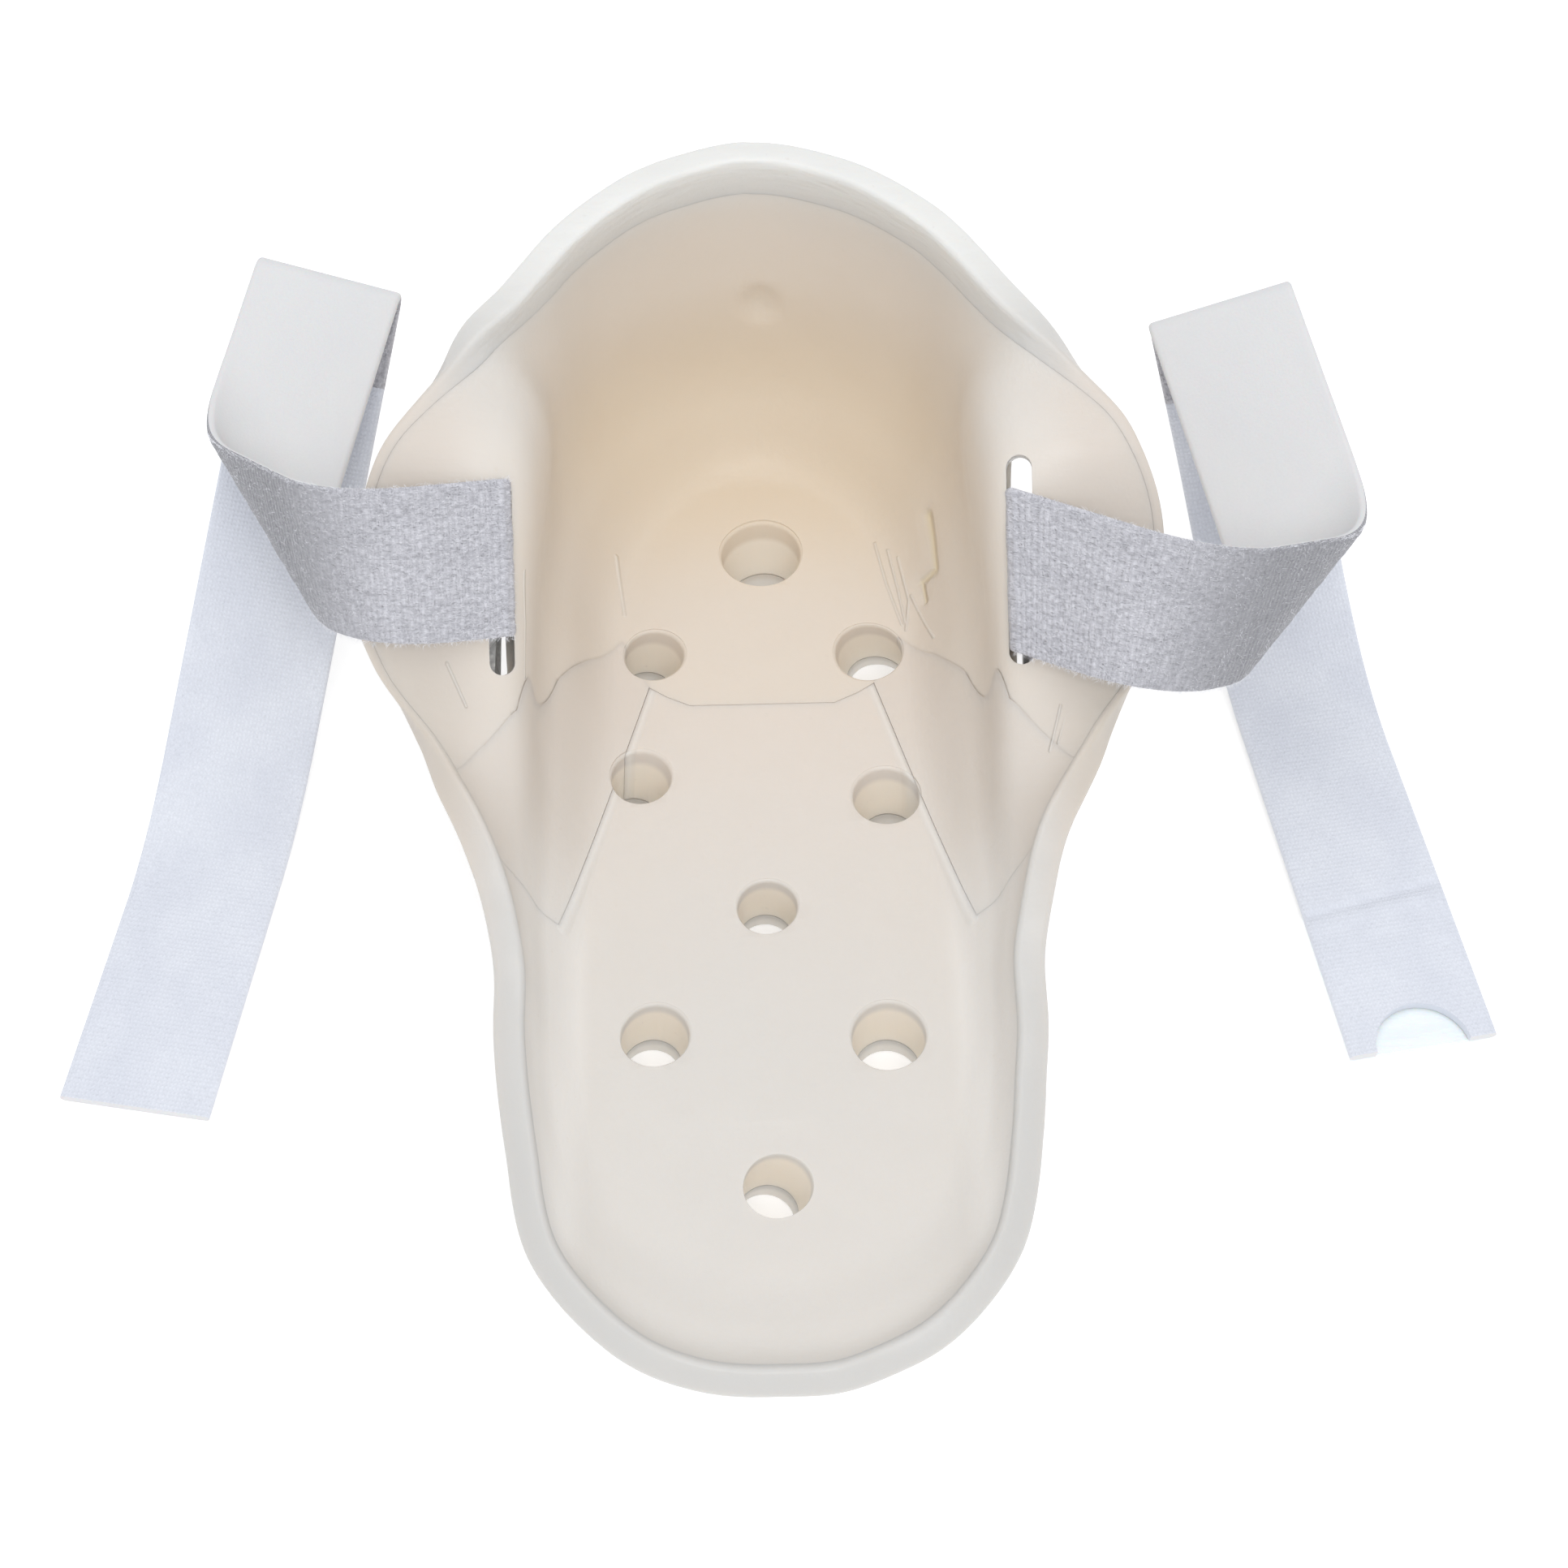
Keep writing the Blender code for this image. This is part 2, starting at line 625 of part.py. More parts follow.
def thickened(name, middle, thick, mat):
    along = np.gradient(middle, axis=0)
    across = np.gradient(middle, axis=1)
    normal = np.cross(along, across)
    normal /= np.linalg.norm(normal, axis=2)[..., None]
    return grid_solid(name, middle + normal * thick / 2, middle - normal * thick / 2, mat)


def slot_points(side, keys, height):
    """Points on the slot's centre line, moved along the cut by a height."""
    low, high, _, cut, _ = slot_frame(side)
    guide = [at_guide(CURVES[:, 2], k, side) for k in keys]
    along = (high - low) / np.linalg.norm(high - low)
    return np.array([low + along * np.dot(g - low, along) + cut * height for g in guide])


def strap_anchor(side, name, strap, strap_mat, patch_mat):
    """The strap's end outside the shell, and the hook patch that holds it there."""
    patch = WALL + PATCH_GAP + PATCH_THICK / 2
    rest = WALL + PATCH_GAP + PATCH_THICK + STRAP_GAP + STRAP_THICK / 2
    glued = anchor_grid(side, strap["at"], [(u, patch) for u in PATCH_U])
    thickened(f"hook_patch_{name}", glued, PATCH_THICK, patch_mat)
    held = anchor_grid(side, strap["at"], [(u, rest) for u in PATCH_U + (ANCHOR_TURN_U,)])
    through = [slot_points(side, anchor_keys(strap["at"]), h) for h in SLOT_PASS]
    thickened(f"strap_{name}_anchor", np.concatenate((held, through)), STRAP_THICK, strap_mat)


def hook_tab(strap, mat, origin):
    """The smooth tab under the right strap's end, seen through the half-round notch."""
    bends = landed_bends(strap)
    end = strap["length"]
    half = STRAP_WIDTH / 2 - TAB_INSET
    s = np.array([end - TAB_LENGTH, end - TAB_LENGTH / 2, end - TAB_INSET])
    t = np.array([-half, 0.0, half])
    s, t = np.meshgrid(s, t, indexing="ij")
    # The lower face of the strap's end is its positive side.
    near = STRAP_THICK / 2 + GAP
    top = strap_points(strap, bends, s, t, near)
    bottom = strap_points(strap, bends, s, t, near + TAB_THICK)
    grid_solid("hook_tab_right", top, bottom, mat, origin)


def notch_cutter(strap):
    bends = landed_bends(strap)
    centre = strap["length"] + NOTCH_BEYOND
    outline = []
    for k in range(17):
        angle = math.pi / 2 + math.pi * k / 16
        outline.append((centre + NOTCH_RADIUS * math.cos(angle), NOTCH_RADIUS * math.sin(angle)))
    outline += [(centre + NOTCH_RADIUS, -NOTCH_RADIUS), (centre + NOTCH_RADIUS, NOTCH_RADIUS)]
    points = strap_points(strap, bends, [p[0] for p in outline], [p[1] for p in outline], 0.0)
    return prism("notch_cutter", points, (0.0, 0.0, 1.0), STRAP_THICK / 2 + GAP / 2)


def clear_scene():
    for obj in list(bpy.data.objects):
        bpy.data.objects.remove(obj, do_unlink=True)


def build():
    clear_scene()
    shell_mat = material("shell_plastic", (0.86, 0.84, 0.80), 0.35, 0.2)
    liner_mat = material("liner_foam", (0.84, 0.78, 0.70), 0.55, 0.2)
    gusset_mat = material("gusset_foam", (0.76, 0.70, 0.64), 0.55, 0.2)
    strap_mat = material("strap_loop", (0.82, 0.84, 0.90), 0.95, 0.0)
    patch_mat = material("hook_strip", (0.90, 0.90, 0.88), 0.6, 0.0)
    tab_mat = material("tab_plastic", (0.90, 0.93, 0.96), 0.3, 0.0)

    cutters = hole_cutters()
    slots = [slot_cutter("slot_cutter_left", -1), slot_cutter("slot_cutter_right", 1)]
    dimple = ball_cutter("dimple_cutter", DIMPLE_AT, DIMPLE_RADIUS)

    shell = shell_solid(shell_mat)
    heel, floor, gusset = liner_regions()
    regions = {
        "heel_liner": (plan_prism("heel_region", heel), liner_mat),
        "forefoot_liner": (plan_prism("forefoot_region", floor), liner_mat),
        "side_gusset_right": (plan_prism("gusset_region_right", gusset), gusset_mat),
        "side_gusset_left": (plan_prism("gusset_region_left", [(-x, y) for x, y in gusset]), gusset_mat),
    }
    pieces = [shell]
    for name, (region, mat) in regions.items():
        piece = liner_solid(name, mat)
        boolean(piece, region, "INTERSECT", "region")
        pieces.append(piece)
    for piece in pieces:
        for cutter in cutters + slots:
            boolean(piece, cutter, "DIFFERENCE", cutter.name)
    boolean(bpy.data.objects["heel_liner"], dimple, "DIFFERENCE", "dimple")

    for side, name in ((-1, "left"), (1, "right")):
        strap = STRAPS[name]
        strap_anchor(side, name, strap, strap_mat, patch_mat)
        end, hinge = strap_pieces(name, strap, strap_mat)
    boolean(end, notch_cutter(STRAPS["right"]), "DIFFERENCE", "notch")
    hook_tab(STRAPS["right"], tab_mat, hinge)


build()
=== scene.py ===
"""Looks for the low ankle foot orthosis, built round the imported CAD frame.

Shapes repeat the CAD's own guides at a finer step. Functions work in millimetres, and meshes and
shader values are in metres.
"""

import json
import math

import bmesh
import bpy
import numpy as np
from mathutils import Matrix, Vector

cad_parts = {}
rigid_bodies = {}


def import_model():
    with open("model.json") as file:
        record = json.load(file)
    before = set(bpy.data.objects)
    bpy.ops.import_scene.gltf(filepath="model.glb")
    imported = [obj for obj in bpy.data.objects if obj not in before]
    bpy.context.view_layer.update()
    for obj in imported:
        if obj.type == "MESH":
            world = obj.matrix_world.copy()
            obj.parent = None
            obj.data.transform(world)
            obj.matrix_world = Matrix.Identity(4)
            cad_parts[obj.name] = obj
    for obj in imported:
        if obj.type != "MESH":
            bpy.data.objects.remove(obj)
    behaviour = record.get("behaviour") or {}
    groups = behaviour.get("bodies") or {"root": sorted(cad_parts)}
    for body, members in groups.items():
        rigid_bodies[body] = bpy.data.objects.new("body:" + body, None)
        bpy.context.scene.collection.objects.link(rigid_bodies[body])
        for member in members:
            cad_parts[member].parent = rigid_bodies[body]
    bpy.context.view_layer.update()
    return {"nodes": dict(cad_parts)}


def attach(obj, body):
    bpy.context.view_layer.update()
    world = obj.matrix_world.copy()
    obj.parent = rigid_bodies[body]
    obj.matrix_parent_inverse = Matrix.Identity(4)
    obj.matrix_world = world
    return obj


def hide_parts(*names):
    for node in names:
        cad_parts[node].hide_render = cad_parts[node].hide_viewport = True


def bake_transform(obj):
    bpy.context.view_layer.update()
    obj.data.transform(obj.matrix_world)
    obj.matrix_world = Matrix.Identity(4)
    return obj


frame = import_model()

MM = 0.001
STEPS_ROUND = 12

# Shell and lining, as in the CAD.
GAP = 0.3
WALL = 4.8
LINER_WALL = 2.4
LINER_EDGE = 0.8
SOLE_SHELL = 3.0
FLOOR_TOE = 12.0
FLOOR_HEEL = 14.5
FLOOR_TOE_Y = -75.5
FLOOR_HEEL_Y = 76.0
LINER_INSET = 1.6
LINER_INSET_HEEL = 7.5
INSET_GROWS_FROM_Y = 30.0
INSET_GROWS_OVER = 45.0
SKIVE = 7.0
FILLET_END_U = 1.15

# Each guide goes up the wall: the floor's edge, two places on the wall and the rim.
GUIDES = (
    ((0.0, -75.5), (0.0, -83.0, 12.8), (0.0, -88.5, 14.0), (0.0, -92.0, 16.8)),
    ((8.0, -74.8), (10.0, -82.0, 12.8), (11.2, -87.5, 14.0), (12.0, -90.6, 17.0)),
    ((16.0, -72.0), (19.5, -78.0, 13.0), (21.8, -82.5, 14.5), (23.0, -85.0, 18.0)),
    ((23.5, -65.0), (28.5, -69.0, 13.6), (31.5, -71.5, 16.0), (33.0, -73.0, 20.0)),
    ((28.0, -54.0), (32.5, -56.0, 14.5), (34.8, -57.2, 18.0), (36.3, -58.0, 23.0)),
    ((30.0, -41.0), (34.5, -41.5, 16.0), (36.7, -42.0, 21.0), (37.8, -42.5, 27.5)),
    ((30.5, -28.0), (35.0, -28.5, 17.0), (37.0, -29.0, 24.0), (38.0, -29.0, 33.0)),
    ((29.5, -14.0), (35.5, -14.5, 19.0), (39.0, -14.5, 30.0), (43.0, -13.0, 40.0)),
    ((27.5, -2.0), (35.0, -2.5, 20.0), (40.6, 0.5, 35.0), (53.0, 3.0, 42.5)),
    ((26.0, 8.0), (34.8, 9.5, 22.0), (41.2, 12.2, 46.2), (62.3, 14.0, 47.5)),
    ((24.5, 20.0), (34.5, 22.0, 24.5), (40.8, 23.4, 58.8), (64.3, 24.5, 59.0)),
    ((24.0, 33.0), (34.0, 35.0, 27.0), (40.4, 34.6, 71.5), (58.5, 36.5, 73.5)),
    ((24.0, 46.0), (33.0, 49.5, 27.0), (38.6, 50.5, 72.0), (47.9, 49.4, 78.0)),
    ((21.5, 57.0), (30.0, 63.5, 26.5), (34.2, 65.5, 63.5), (38.0, 60.9, 78.6)),
    ((16.5, 67.0), (23.5, 75.5, 25.5), (26.8, 79.0, 59.0), (27.2, 76.3, 79.2)),
    ((9.0, 74.0), (12.5, 84.0, 25.0), (14.0, 88.0, 54.0), (13.3, 87.6, 79.5)),
    ((0.0, 76.0), (0.0, 87.0, 25.0), (0.0, 91.3, 53.0), (0.0, 91.6, 79.5)),
)

# Each hole: x, y, diameter, and how far its bottom lies from its top along x and y.
HOLES = (
    (0.5, 61.0, 14.0, 0.3, -3.0),
    (-18.6, 39.3, 10.2, -2.4, -0.8),
    (18.8, 39.0, 11.6, 2.2, 1.9),
    (-20.8, 14.2, 10.2, -2.4, -3.2),
    (20.5, 9.4, 11.0, 1.0, -2.9),
    (0.0, -11.6, 9.8, -0.5, -0.4),
    (-18.4, -34.6, 10.8, -1.2, -1.2),
    (18.8, -35.6, 11.8, 0.0, -1.8),
    (0.6, -60.8, 10.6, -2.4, -1.0),
)
HOLE_TAPER = 0.88
HOLE_SIDES = 64
# Slots and seams. Their cuts, ends and corners differ a little from the CAD's.
SLOT_LOW = (41.2, 12.4, 46.4)
SLOT_HIGH = (40.4, 34.5, 71.4)
SLOT_WIDTH = 4.0
SLOT_STEPS = 16
SLOT_LEAN = (-0.11, -0.58, 0.81)
SLOT_ABOVE = 14.0
SLOT_DEEP = (15.0, 9.0)
SLOT_LEFT_SHORT = 2.2
HEEL_SEAM = (
    (0.0, 28.5),
    (12.5, 28.5),
    (16.5, 30.4),
    (19.5, 32.4),
    (24.2, 42.2),
    (29.8, 35.0),
    (34.2, 26.2),
    (39.3, 9.2),
    (46.0, 2.0),
    (53.0, -8.0),
    (90.0, -10.0),
)
SEAM_CORNER = 3
FLOOR_SEAM = ((19.5, 32.4), (34.0, -16.0), (90.0, -17.0))
SEAM_GAP = 0.03
RAISED = {"heel_lining": 0.14, "gusset_right": 0.3, "gusset_left": 0.3}
BEYOND_X, BEYOND_Y, BEYOND_Z = 90.0, 140.0, 140.0

STRAP_WIDTH = 25.0
STRAP_THICK = 1.6
FOLD_RADIUS = 2.4
LANDING_RADIUS = 45.0
LANDING_PROBE = 20.0
# Starts, directions, bends and lengths are fitted values. A bend is its place, skew, angle and radius.
STRAPS = {
    "left": {
        "start": (-39.5, 23.7, 61.9),
        "along": (-0.9663, -0.2117, 0.1463),
        "across": (-0.0229, 0.6368, 0.7707),
        "skew": -0.036,
        "bends": (
            (10.0, 0.206, 1.194, 20.0),
            (42.0, 0.779, 1.8, 14.0),
            (103.6, -0.043, -2.832, FOLD_RADIUS),
        ),
        "length": 258.2,
        "rest": 1.0,
        "at": 10.14,
        "curl": 1.05,
    },
    "right": {
        "start": (41.4, 20.7, 59.0),
        "along": (0.8833, -0.4605, 0.0875),
        "across": (0.2275, 0.5843, 0.7790),
        "skew": -0.29,
        "bends": (
            (13.7, 0.174, 1.142, 20.5),
            (45.3, 0.579, 1.8, 14.0),
            (113.8, -0.105, -2.366, FOLD_RADIUS),
        ),
        "length": 262.3,
        "rest": 2.1,
        "at": 9.87,
        "curl": -0.95,
    },
}
NOTCH_RADIUS = 8.0
NOTCH_BEYOND = 0.4
TAB_LENGTH = 28.0
TAB_THICK = 0.9
TAB_INSET = 0.4
PATCH_THICK = 1.2
STRAP_GAP = 0.5
ANCHOR_TURN_U = 1.66
ANCHOR_REACH = 0.73
PATCH_GAP = 0.8
PATCH_U = (1.34, 1.42, 1.5, 1.58)
SLOT_PASS = (-8.6, -5.6)
CURL_REACH = 1.3
CURL_DEPTH = 2.2
SPLIT_PAST_FOLD = 14.0
SKEW_EASE = 24.0
EDGE_MARGIN = 0.8
FIBRES, FIBRES_QUICK = 3200, 400
FIBRE_REACH = 64.0

# Creases and scratches in the lining: start, end, width, and how much each axis counts.
ON_FLOOR, ON_WALL = (1.0, 1.0, 0.2), (0.25, 1.0, 1.0)
SCRATCHES = (
    ((-25.3, 59.3, 16.3), (-23.9, 48.0, 14.2), 0.5, ON_FLOOR),
    ((21.0, 62.5, 14.6), (22.7, 53.6, 14.1), 0.4, ON_FLOOR),
    ((22.7, 53.6, 14.1), (25.0, 44.5, 14.1), 0.4, ON_FLOOR),
    ((23.2, 60.5, 14.9), (24.6, 52.4, 14.5), 0.35, ON_FLOOR),
    ((24.6, 52.4, 14.5), (25.6, 44.8, 14.3), 0.35, ON_FLOOR),
    ((24.9, 58.3, 15.3), (26.4, 49.3, 14.9), 0.35, ON_FLOOR),
    ((26.4, 49.3, 14.9), (25.6, 43.2, 14.2), 0.35, ON_FLOOR),
    ((26.8, 50.0, 15.4), (30.0, 38.3, 18.7), 0.3, ON_FLOOR),
    ((-37.3, 25.4, 56.3), (-37.7, 20.0, 49.4), 0.4, ON_WALL),
    ((-37.7, 20.0, 49.4), (-38.1, 14.4, 43.1), 0.4, ON_WALL),
    ((-49.8, 13.3, 48.6), (-47.1, 8.4, 43.8), 0.35, ON_FLOOR),
    ((47.2, 6.9, 42.6), (45.3, 0.8, 38.6), 0.35, ON_FLOOR),
    ((48.2, 6.4, 43.8), (46.6, 1.8, 39.8), 0.3, ON_FLOOR),
)
TORN = (
    ((29.9, 60.6, 24.6), (30.6, 50.8, 21.8), 1.7, ON_WALL),
    ((30.6, 50.8, 21.8), (28.2, 51.2, 17.6), 1.2, ON_WALL),
    ((28.2, 51.2, 17.6), (28.9, 47.0, 17.4), 0.9, ON_WALL),
)
STAIN = (0.80, 0.70, 0.50)
# Painted light: the lining's low forefoot side walls lighter and cooler. The second colour is what the shell
# gets there.
FLANK_LIGHT, SHELL_FLANK = (0.81, 0.785, 0.75), (0.60, 0.59, 0.57)
# Painted shade: the wings' outer parts darker and warmer, and darker still low on them, under the straps.
WING_SHADE, WING_LOW_SHADE = (0.67, 0.61, 0.55), (0.60, 0.545, 0.48)
# Painted highlights: thin lighter lines along the gussets' floor seams, as light on the seams' edges. Columns
# as above.
SEAM_HIGHLIGHTS = (
    ((19.1, 31.6, 0.0), (33.3, -16.4, 0.0), 1.1, (1.0, 1.0, 0.0)),
    ((-19.1, 31.6, 0.0), (-33.3, -16.4, 0.0), 1.1, (1.0, 1.0, 0.0)),
)

# Where the plastic's colour changes, in metres: from the first value to the second. Most of these are painted
# light and shade.
# Partly painted warm shade low in the heel, partly the plastic's own cream tone.
BACK_Y, LOW_Z = (-0.045, 0.045), (0.082, 0.058)
# Painted warm shade in the heel's deep corner.
WELL_SHADE_Y, WELL_SHADE_Z = (0.045, 0.078), (0.062, 0.030)
# Painted highlight on the top of the heel's rim.
DOME_HIGHLIGHT_Y, DOME_HIGHLIGHT_Z = (0.045, 0.075), (0.068, 0.079)
# Painted light on the low forefoot side walls.
FLANK_X, FLANK_Y, FLANK_Z = (0.028, 0.034), (0.005, -0.02), (0.036, 0.024)
# Painted shade on the wings' outer parts.
WING_X, WING_Y = (0.038, 0.052), (0.056, 0.040)
# Painted shadow low on the wings' outer sides.
WING_LOW_X, WING_LOW_Z = (0.042, 0.055), (0.056, 0.042)
GROUND_Z = (0.070, 0.079)
# How soft the change into the hole walls' painted glow is.
BORE_FADE = 0.0015

# Small irregularities of a hand-made shell, in millimetres.
RIM_WOBBLE = 0.55
WALL_WOBBLE = 0.22
RIM_ROUND = 0.9
DIMPLE_AT, DIMPLE_SIZE, DIMPLE_DEPTH = (1.2, 47.0), (4.2, 5.0), 1.3
LIP_HEIGHT, LIP_BELOW_Z = 0.35, 46.0
TORN_DEPTH = 0.6

# Rows up the lining and the rim's band, and the angles in degrees under which edges look smooth.
LINER_ROWS = (14, 24, 16)
BAND_ROWS = 5
SHELL_SMOOTH, STRAP_SMOOTH = 32.0, 50.0

# Camera and light: angles in degrees, the lens in millimetres and places in metres.
CAMERA_ELEVATION, CAMERA_AZIMUTH, CAMERA_LENS = 57.0, -1.5, 58.25
CAMERA_AIM, CAMERA_DISTANCE = (0.0033, 0.010, 0.0167), 0.426
# Each lamp: name, place, size and power.
LAMPS = (("key", (0.1, -0.62, 0.95), 0.6, 3.6), ("top", (-0.05, 0.2, 1.1), 0.9, 2.6))
LAMP_AIM = (0.0, 0.02, 0.02)
SKY_COLOR, SKY_STRENGTH = (0.97, 0.98, 1.0, 1.0), 0.72
FLOOR_GLOW = 0.3
FLOOR_HALF, FLOOR_DROP = 4.0, 0.0002


def material_nodes(name):
    made = bpy.data.materials.new(name)
    made.use_nodes = True
    return made, made.node_tree, made.node_tree.nodes["Principled BSDF"]


def plug(tree, value, socket):
    """Sets a socket from another socket or from a plain value."""
    if hasattr(value, "is_output"):
        tree.links.new(value, socket)
    else:
        socket.default_value = value


def fixed(shader, **values):
    """Sets plain values of the shader, such as Roughness or Sheen_Weight."""
    for name, value in values.items():
        shader.inputs[name.replace("_", " ")].default_value = value


def calc(tree, operation, a, b=0.0, c=0.0, clamp=False):
    node = tree.nodes.new("ShaderNodeMath")
    node.operation = operation
    node.use_clamp = clamp
    for k, value in enumerate((a, b, c)):
        plug(tree, value, node.inputs[k])
    return node.outputs[0]


def ramp(tree, value, low, high, to_low=0.0, to_high=1.0):
    node = tree.nodes.new("ShaderNodeMapRange")
    node.interpolation_type = "SMOOTHSTEP"
    for k, item in enumerate((value, low, high, to_low, to_high)):
        plug(tree, item, node.inputs[k])
    return node.outputs[0]


def mix(tree, share, a, b):
    node = tree.nodes.new("ShaderNodeMix")
    node.data_type = "RGBA"
    plug(tree, share, node.inputs["Factor"])
    plug(tree, (*a, 1.0) if isinstance(a, tuple) else a, node.inputs["A"])
    plug(tree, (*b, 1.0) if isinstance(b, tuple) else b, node.inputs["B"])
    return next(o for o in node.outputs if o.type == "RGBA")


def noise(tree, vector, scale, detail=2.0, rough=0.5):
    node = tree.nodes.new("ShaderNodeTexNoise")
    plug(tree, vector, node.inputs["Vector"])
    node.inputs["Scale"].default_value = scale
    node.inputs["Detail"].default_value = detail
    node.inputs["Roughness"].default_value = rough
    return node.outputs["Fac"]


def wave(tree, vector, scale, direction, distort=0.0):
    node = tree.nodes.new("ShaderNodeTexWave")
    node.bands_direction = direction
    plug(tree, vector, node.inputs["Vector"])
    node.inputs["Scale"].default_value = scale
    node.inputs["Distortion"].default_value = distort
    return node.outputs["Fac"]


def bump(tree, height, distance, normal=None):
    node = tree.nodes.new("ShaderNodeBump")
    node.inputs["Strength"].default_value = 1.0
    node.inputs["Distance"].default_value = distance
    plug(tree, height, node.inputs["Height"])
    if normal is not None:
        tree.links.new(normal, node.inputs["Normal"])
    return node.outputs["Normal"]


def stretched(tree, vector, scale):
    node = tree.nodes.new("ShaderNodeMapping")
    plug(tree, vector, node.inputs["Vector"])
    node.inputs["Scale"].default_value = scale
    return node.outputs["Vector"]


def position(tree):
    """Object coordinates, and their x, y and z in metres."""
    coords = tree.nodes.new("ShaderNodeTexCoord").outputs["Object"]
    split = tree.nodes.new("ShaderNodeSeparateXYZ")
    tree.links.new(coords, split.inputs[0])
    return coords, split.outputs


def vector_math(tree, operation, a, b, output="Vector"):
    node = tree.nodes.new("ShaderNodeVectorMath")
    node.operation = operation
    plug(tree, a, node.inputs[0])
    plug(tree, b, node.inputs["Scale"] if operation == "SCALE" else node.inputs[1])
    return node.outputs[output]


def near_line(tree, coords, a, b, width, flatten):
    """1 on the line from a to b, falling to 0 at the width, in millimetres. flatten scales each axis."""
    a, b = (Vector(np.array(end) * flatten * MM) for end in (a, b))
    way = b - a
    flat = vector_math(tree, "MULTIPLY", coords, Vector(flatten))
    from_a = vector_math(tree, "SUBTRACT", flat, a)
    share = vector_math(tree, "DOT_PRODUCT", from_a, way, "Value")
    share = calc(tree, "MULTIPLY", share, 1.0 / way.length_squared, clamp=True)
    nearest = vector_math(tree, "SCALE", way, share)
    return ramp(tree, vector_math(tree, "DISTANCE", from_a, nearest, "Value"), width * MM, 0.0)


def marks(tree, coords, lines):
    """How much of a mark is at each place: the strongest of the lines, (start, end, width, flatten)."""
    found = 0.0
    for a, b, width, flatten in lines:
        found = calc(tree, "MAXIMUM", found, near_line(tree, coords, a, b, width, flatten))
    return found


def cream_plastic(name, cool, warm, deep, flank_color, rim, bore, rough, through, lines=(), stain=()):
    """Milky moulded plastic: cooler towards the toe, warmer down in the heel, partly as painted warm shade,
    and a painted highlight at the rim.
    """
    made, tree, shader = material_nodes(name)
    coords, (x, y, z) = position(tree)
    cloud = noise(tree, coords, 45.0, 3.0, 0.55)
    # Warmer low in the heel: partly painted warm shade of light bouncing in the hollow, partly the plastic's
    # cream tone.
    back = ramp(tree, y, *BACK_Y)
    low = ramp(tree, z, *LOW_Z)
    warmth = calc(tree, "MULTIPLY", back, low)
    uneven = calc(tree, "MULTIPLY", calc(tree, "SUBTRACT", cloud, 0.5), 0.5)
    warmth = calc(tree, "ADD", warmth, uneven, clamp=True)
    color = mix(tree, warmth, cool, warm)
    # Painted warm shade in the heel's deep corner, towards the deep colour.
    heel_well_shade = calc(tree, "MULTIPLY", ramp(tree, y, *WELL_SHADE_Y), ramp(tree, z, *WELL_SHADE_Z))
    color = mix(tree, heel_well_shade, color, deep)
    # Painted highlight: the top of the heel's rim lighter and cooler.
    dome_highlight = calc(tree, "MULTIPLY", ramp(tree, z, *DOME_HIGHLIGHT_Z), ramp(tree, y, *DOME_HIGHLIGHT_Y))
    color = mix(tree, dome_highlight, color, rim)
    # Painted light: the low forefoot side walls lighter and cooler.
    wide = calc(tree, "ABSOLUTE", x)
    flank = calc(tree, "MULTIPLY", ramp(tree, wide, *FLANK_X, 0.0, 0.85), ramp(tree, y, *FLANK_Y))
    color = mix(tree, calc(tree, "MULTIPLY", flank, ramp(tree, z, *FLANK_Z)), color, flank_color)
    # Painted shade on the wings' outer parts, where the straps lie over them.
    wing_shade = calc(tree, "MULTIPLY", ramp(tree, wide, *WING_X), ramp(tree, y, *WING_Y))
    color = mix(tree, wing_shade, color, WING_SHADE)
    # Painted shadow low on the wings, under the straps.
    under = calc(tree, "MULTIPLY", ramp(tree, wide, *WING_LOW_X), ramp(tree, z, *WING_LOW_Z))
    color = mix(tree, under, color, WING_LOW_SHADE)
    # Painted glow: lower down, in the hole walls, lighter and warmer, as light shining through the plastic.
    color = mix(tree, ramp(tree, z, bore[0], bore[0] - BORE_FADE), color, bore[1])
    speck = noise(tree, coords, 900.0, 2.0, 0.6)
    color = mix(tree, ramp(tree, speck, 0.66, 0.78, 0.0, 0.25), color, tuple(0.9 * c for c in warm))
    scratch_and_seam_highlight = marks(tree, coords, lines)
    torn = marks(tree, coords, stain)
    if lines:
        # Lighter lines: real scratches on the heel and gussets, a painted highlight along the seams on the
        # sole.
        color = mix(tree, calc(tree, "MULTIPLY", scratch_and_seam_highlight, 0.3), color, (0.90, 0.88, 0.84))
    if stain:
        color = mix(tree, calc(tree, "MULTIPLY", torn, 0.75), color, STAIN)
    tree.links.new(color, shader.inputs["Base Color"])
    patch = noise(tree, coords, 70.0, 3.0, 0.6)
    tree.links.new(ramp(tree, patch, 0.3, 0.7, rough - 0.07, rough + 0.1), shader.inputs["Roughness"])
    fixed(shader, Subsurface_Weight=through, Subsurface_Radius=(1.0, 0.85, 0.7), Subsurface_Scale=0.0022)
    fixed(shader, Specular_IOR_Level=0.4)
    grain = noise(tree, coords, 1400.0, 2.0, 0.5)
    dents = noise(tree, coords, 160.0, 2.0, 0.5)
    streak = noise(tree, stretched(tree, coords, (90.0, 260.0, 900.0)), 1.0, 3.0, 0.5)
    high = ramp(tree, z, *GROUND_Z)
    normal = bump(tree, grain, 0.00003)
    normal = bump(tree, dents, 0.00012, normal)
    normal = bump(tree, calc(tree, "MULTIPLY", streak, high), 0.00025, normal)
    if lines:
        normal = bump(tree, scratch_and_seam_highlight, 0.00022, normal)
    if stain:
        normal = bump(tree, torn, -0.0005, normal)
    tree.links.new(normal, shader.inputs["Normal"])
    return made


def strap_coords(tree):
    """The strap's own coordinates in metres, along it and across it."""
    coords = tree.nodes.new("ShaderNodeUVMap")
    coords.uv_map = "strap"
    return coords.outputs[0]


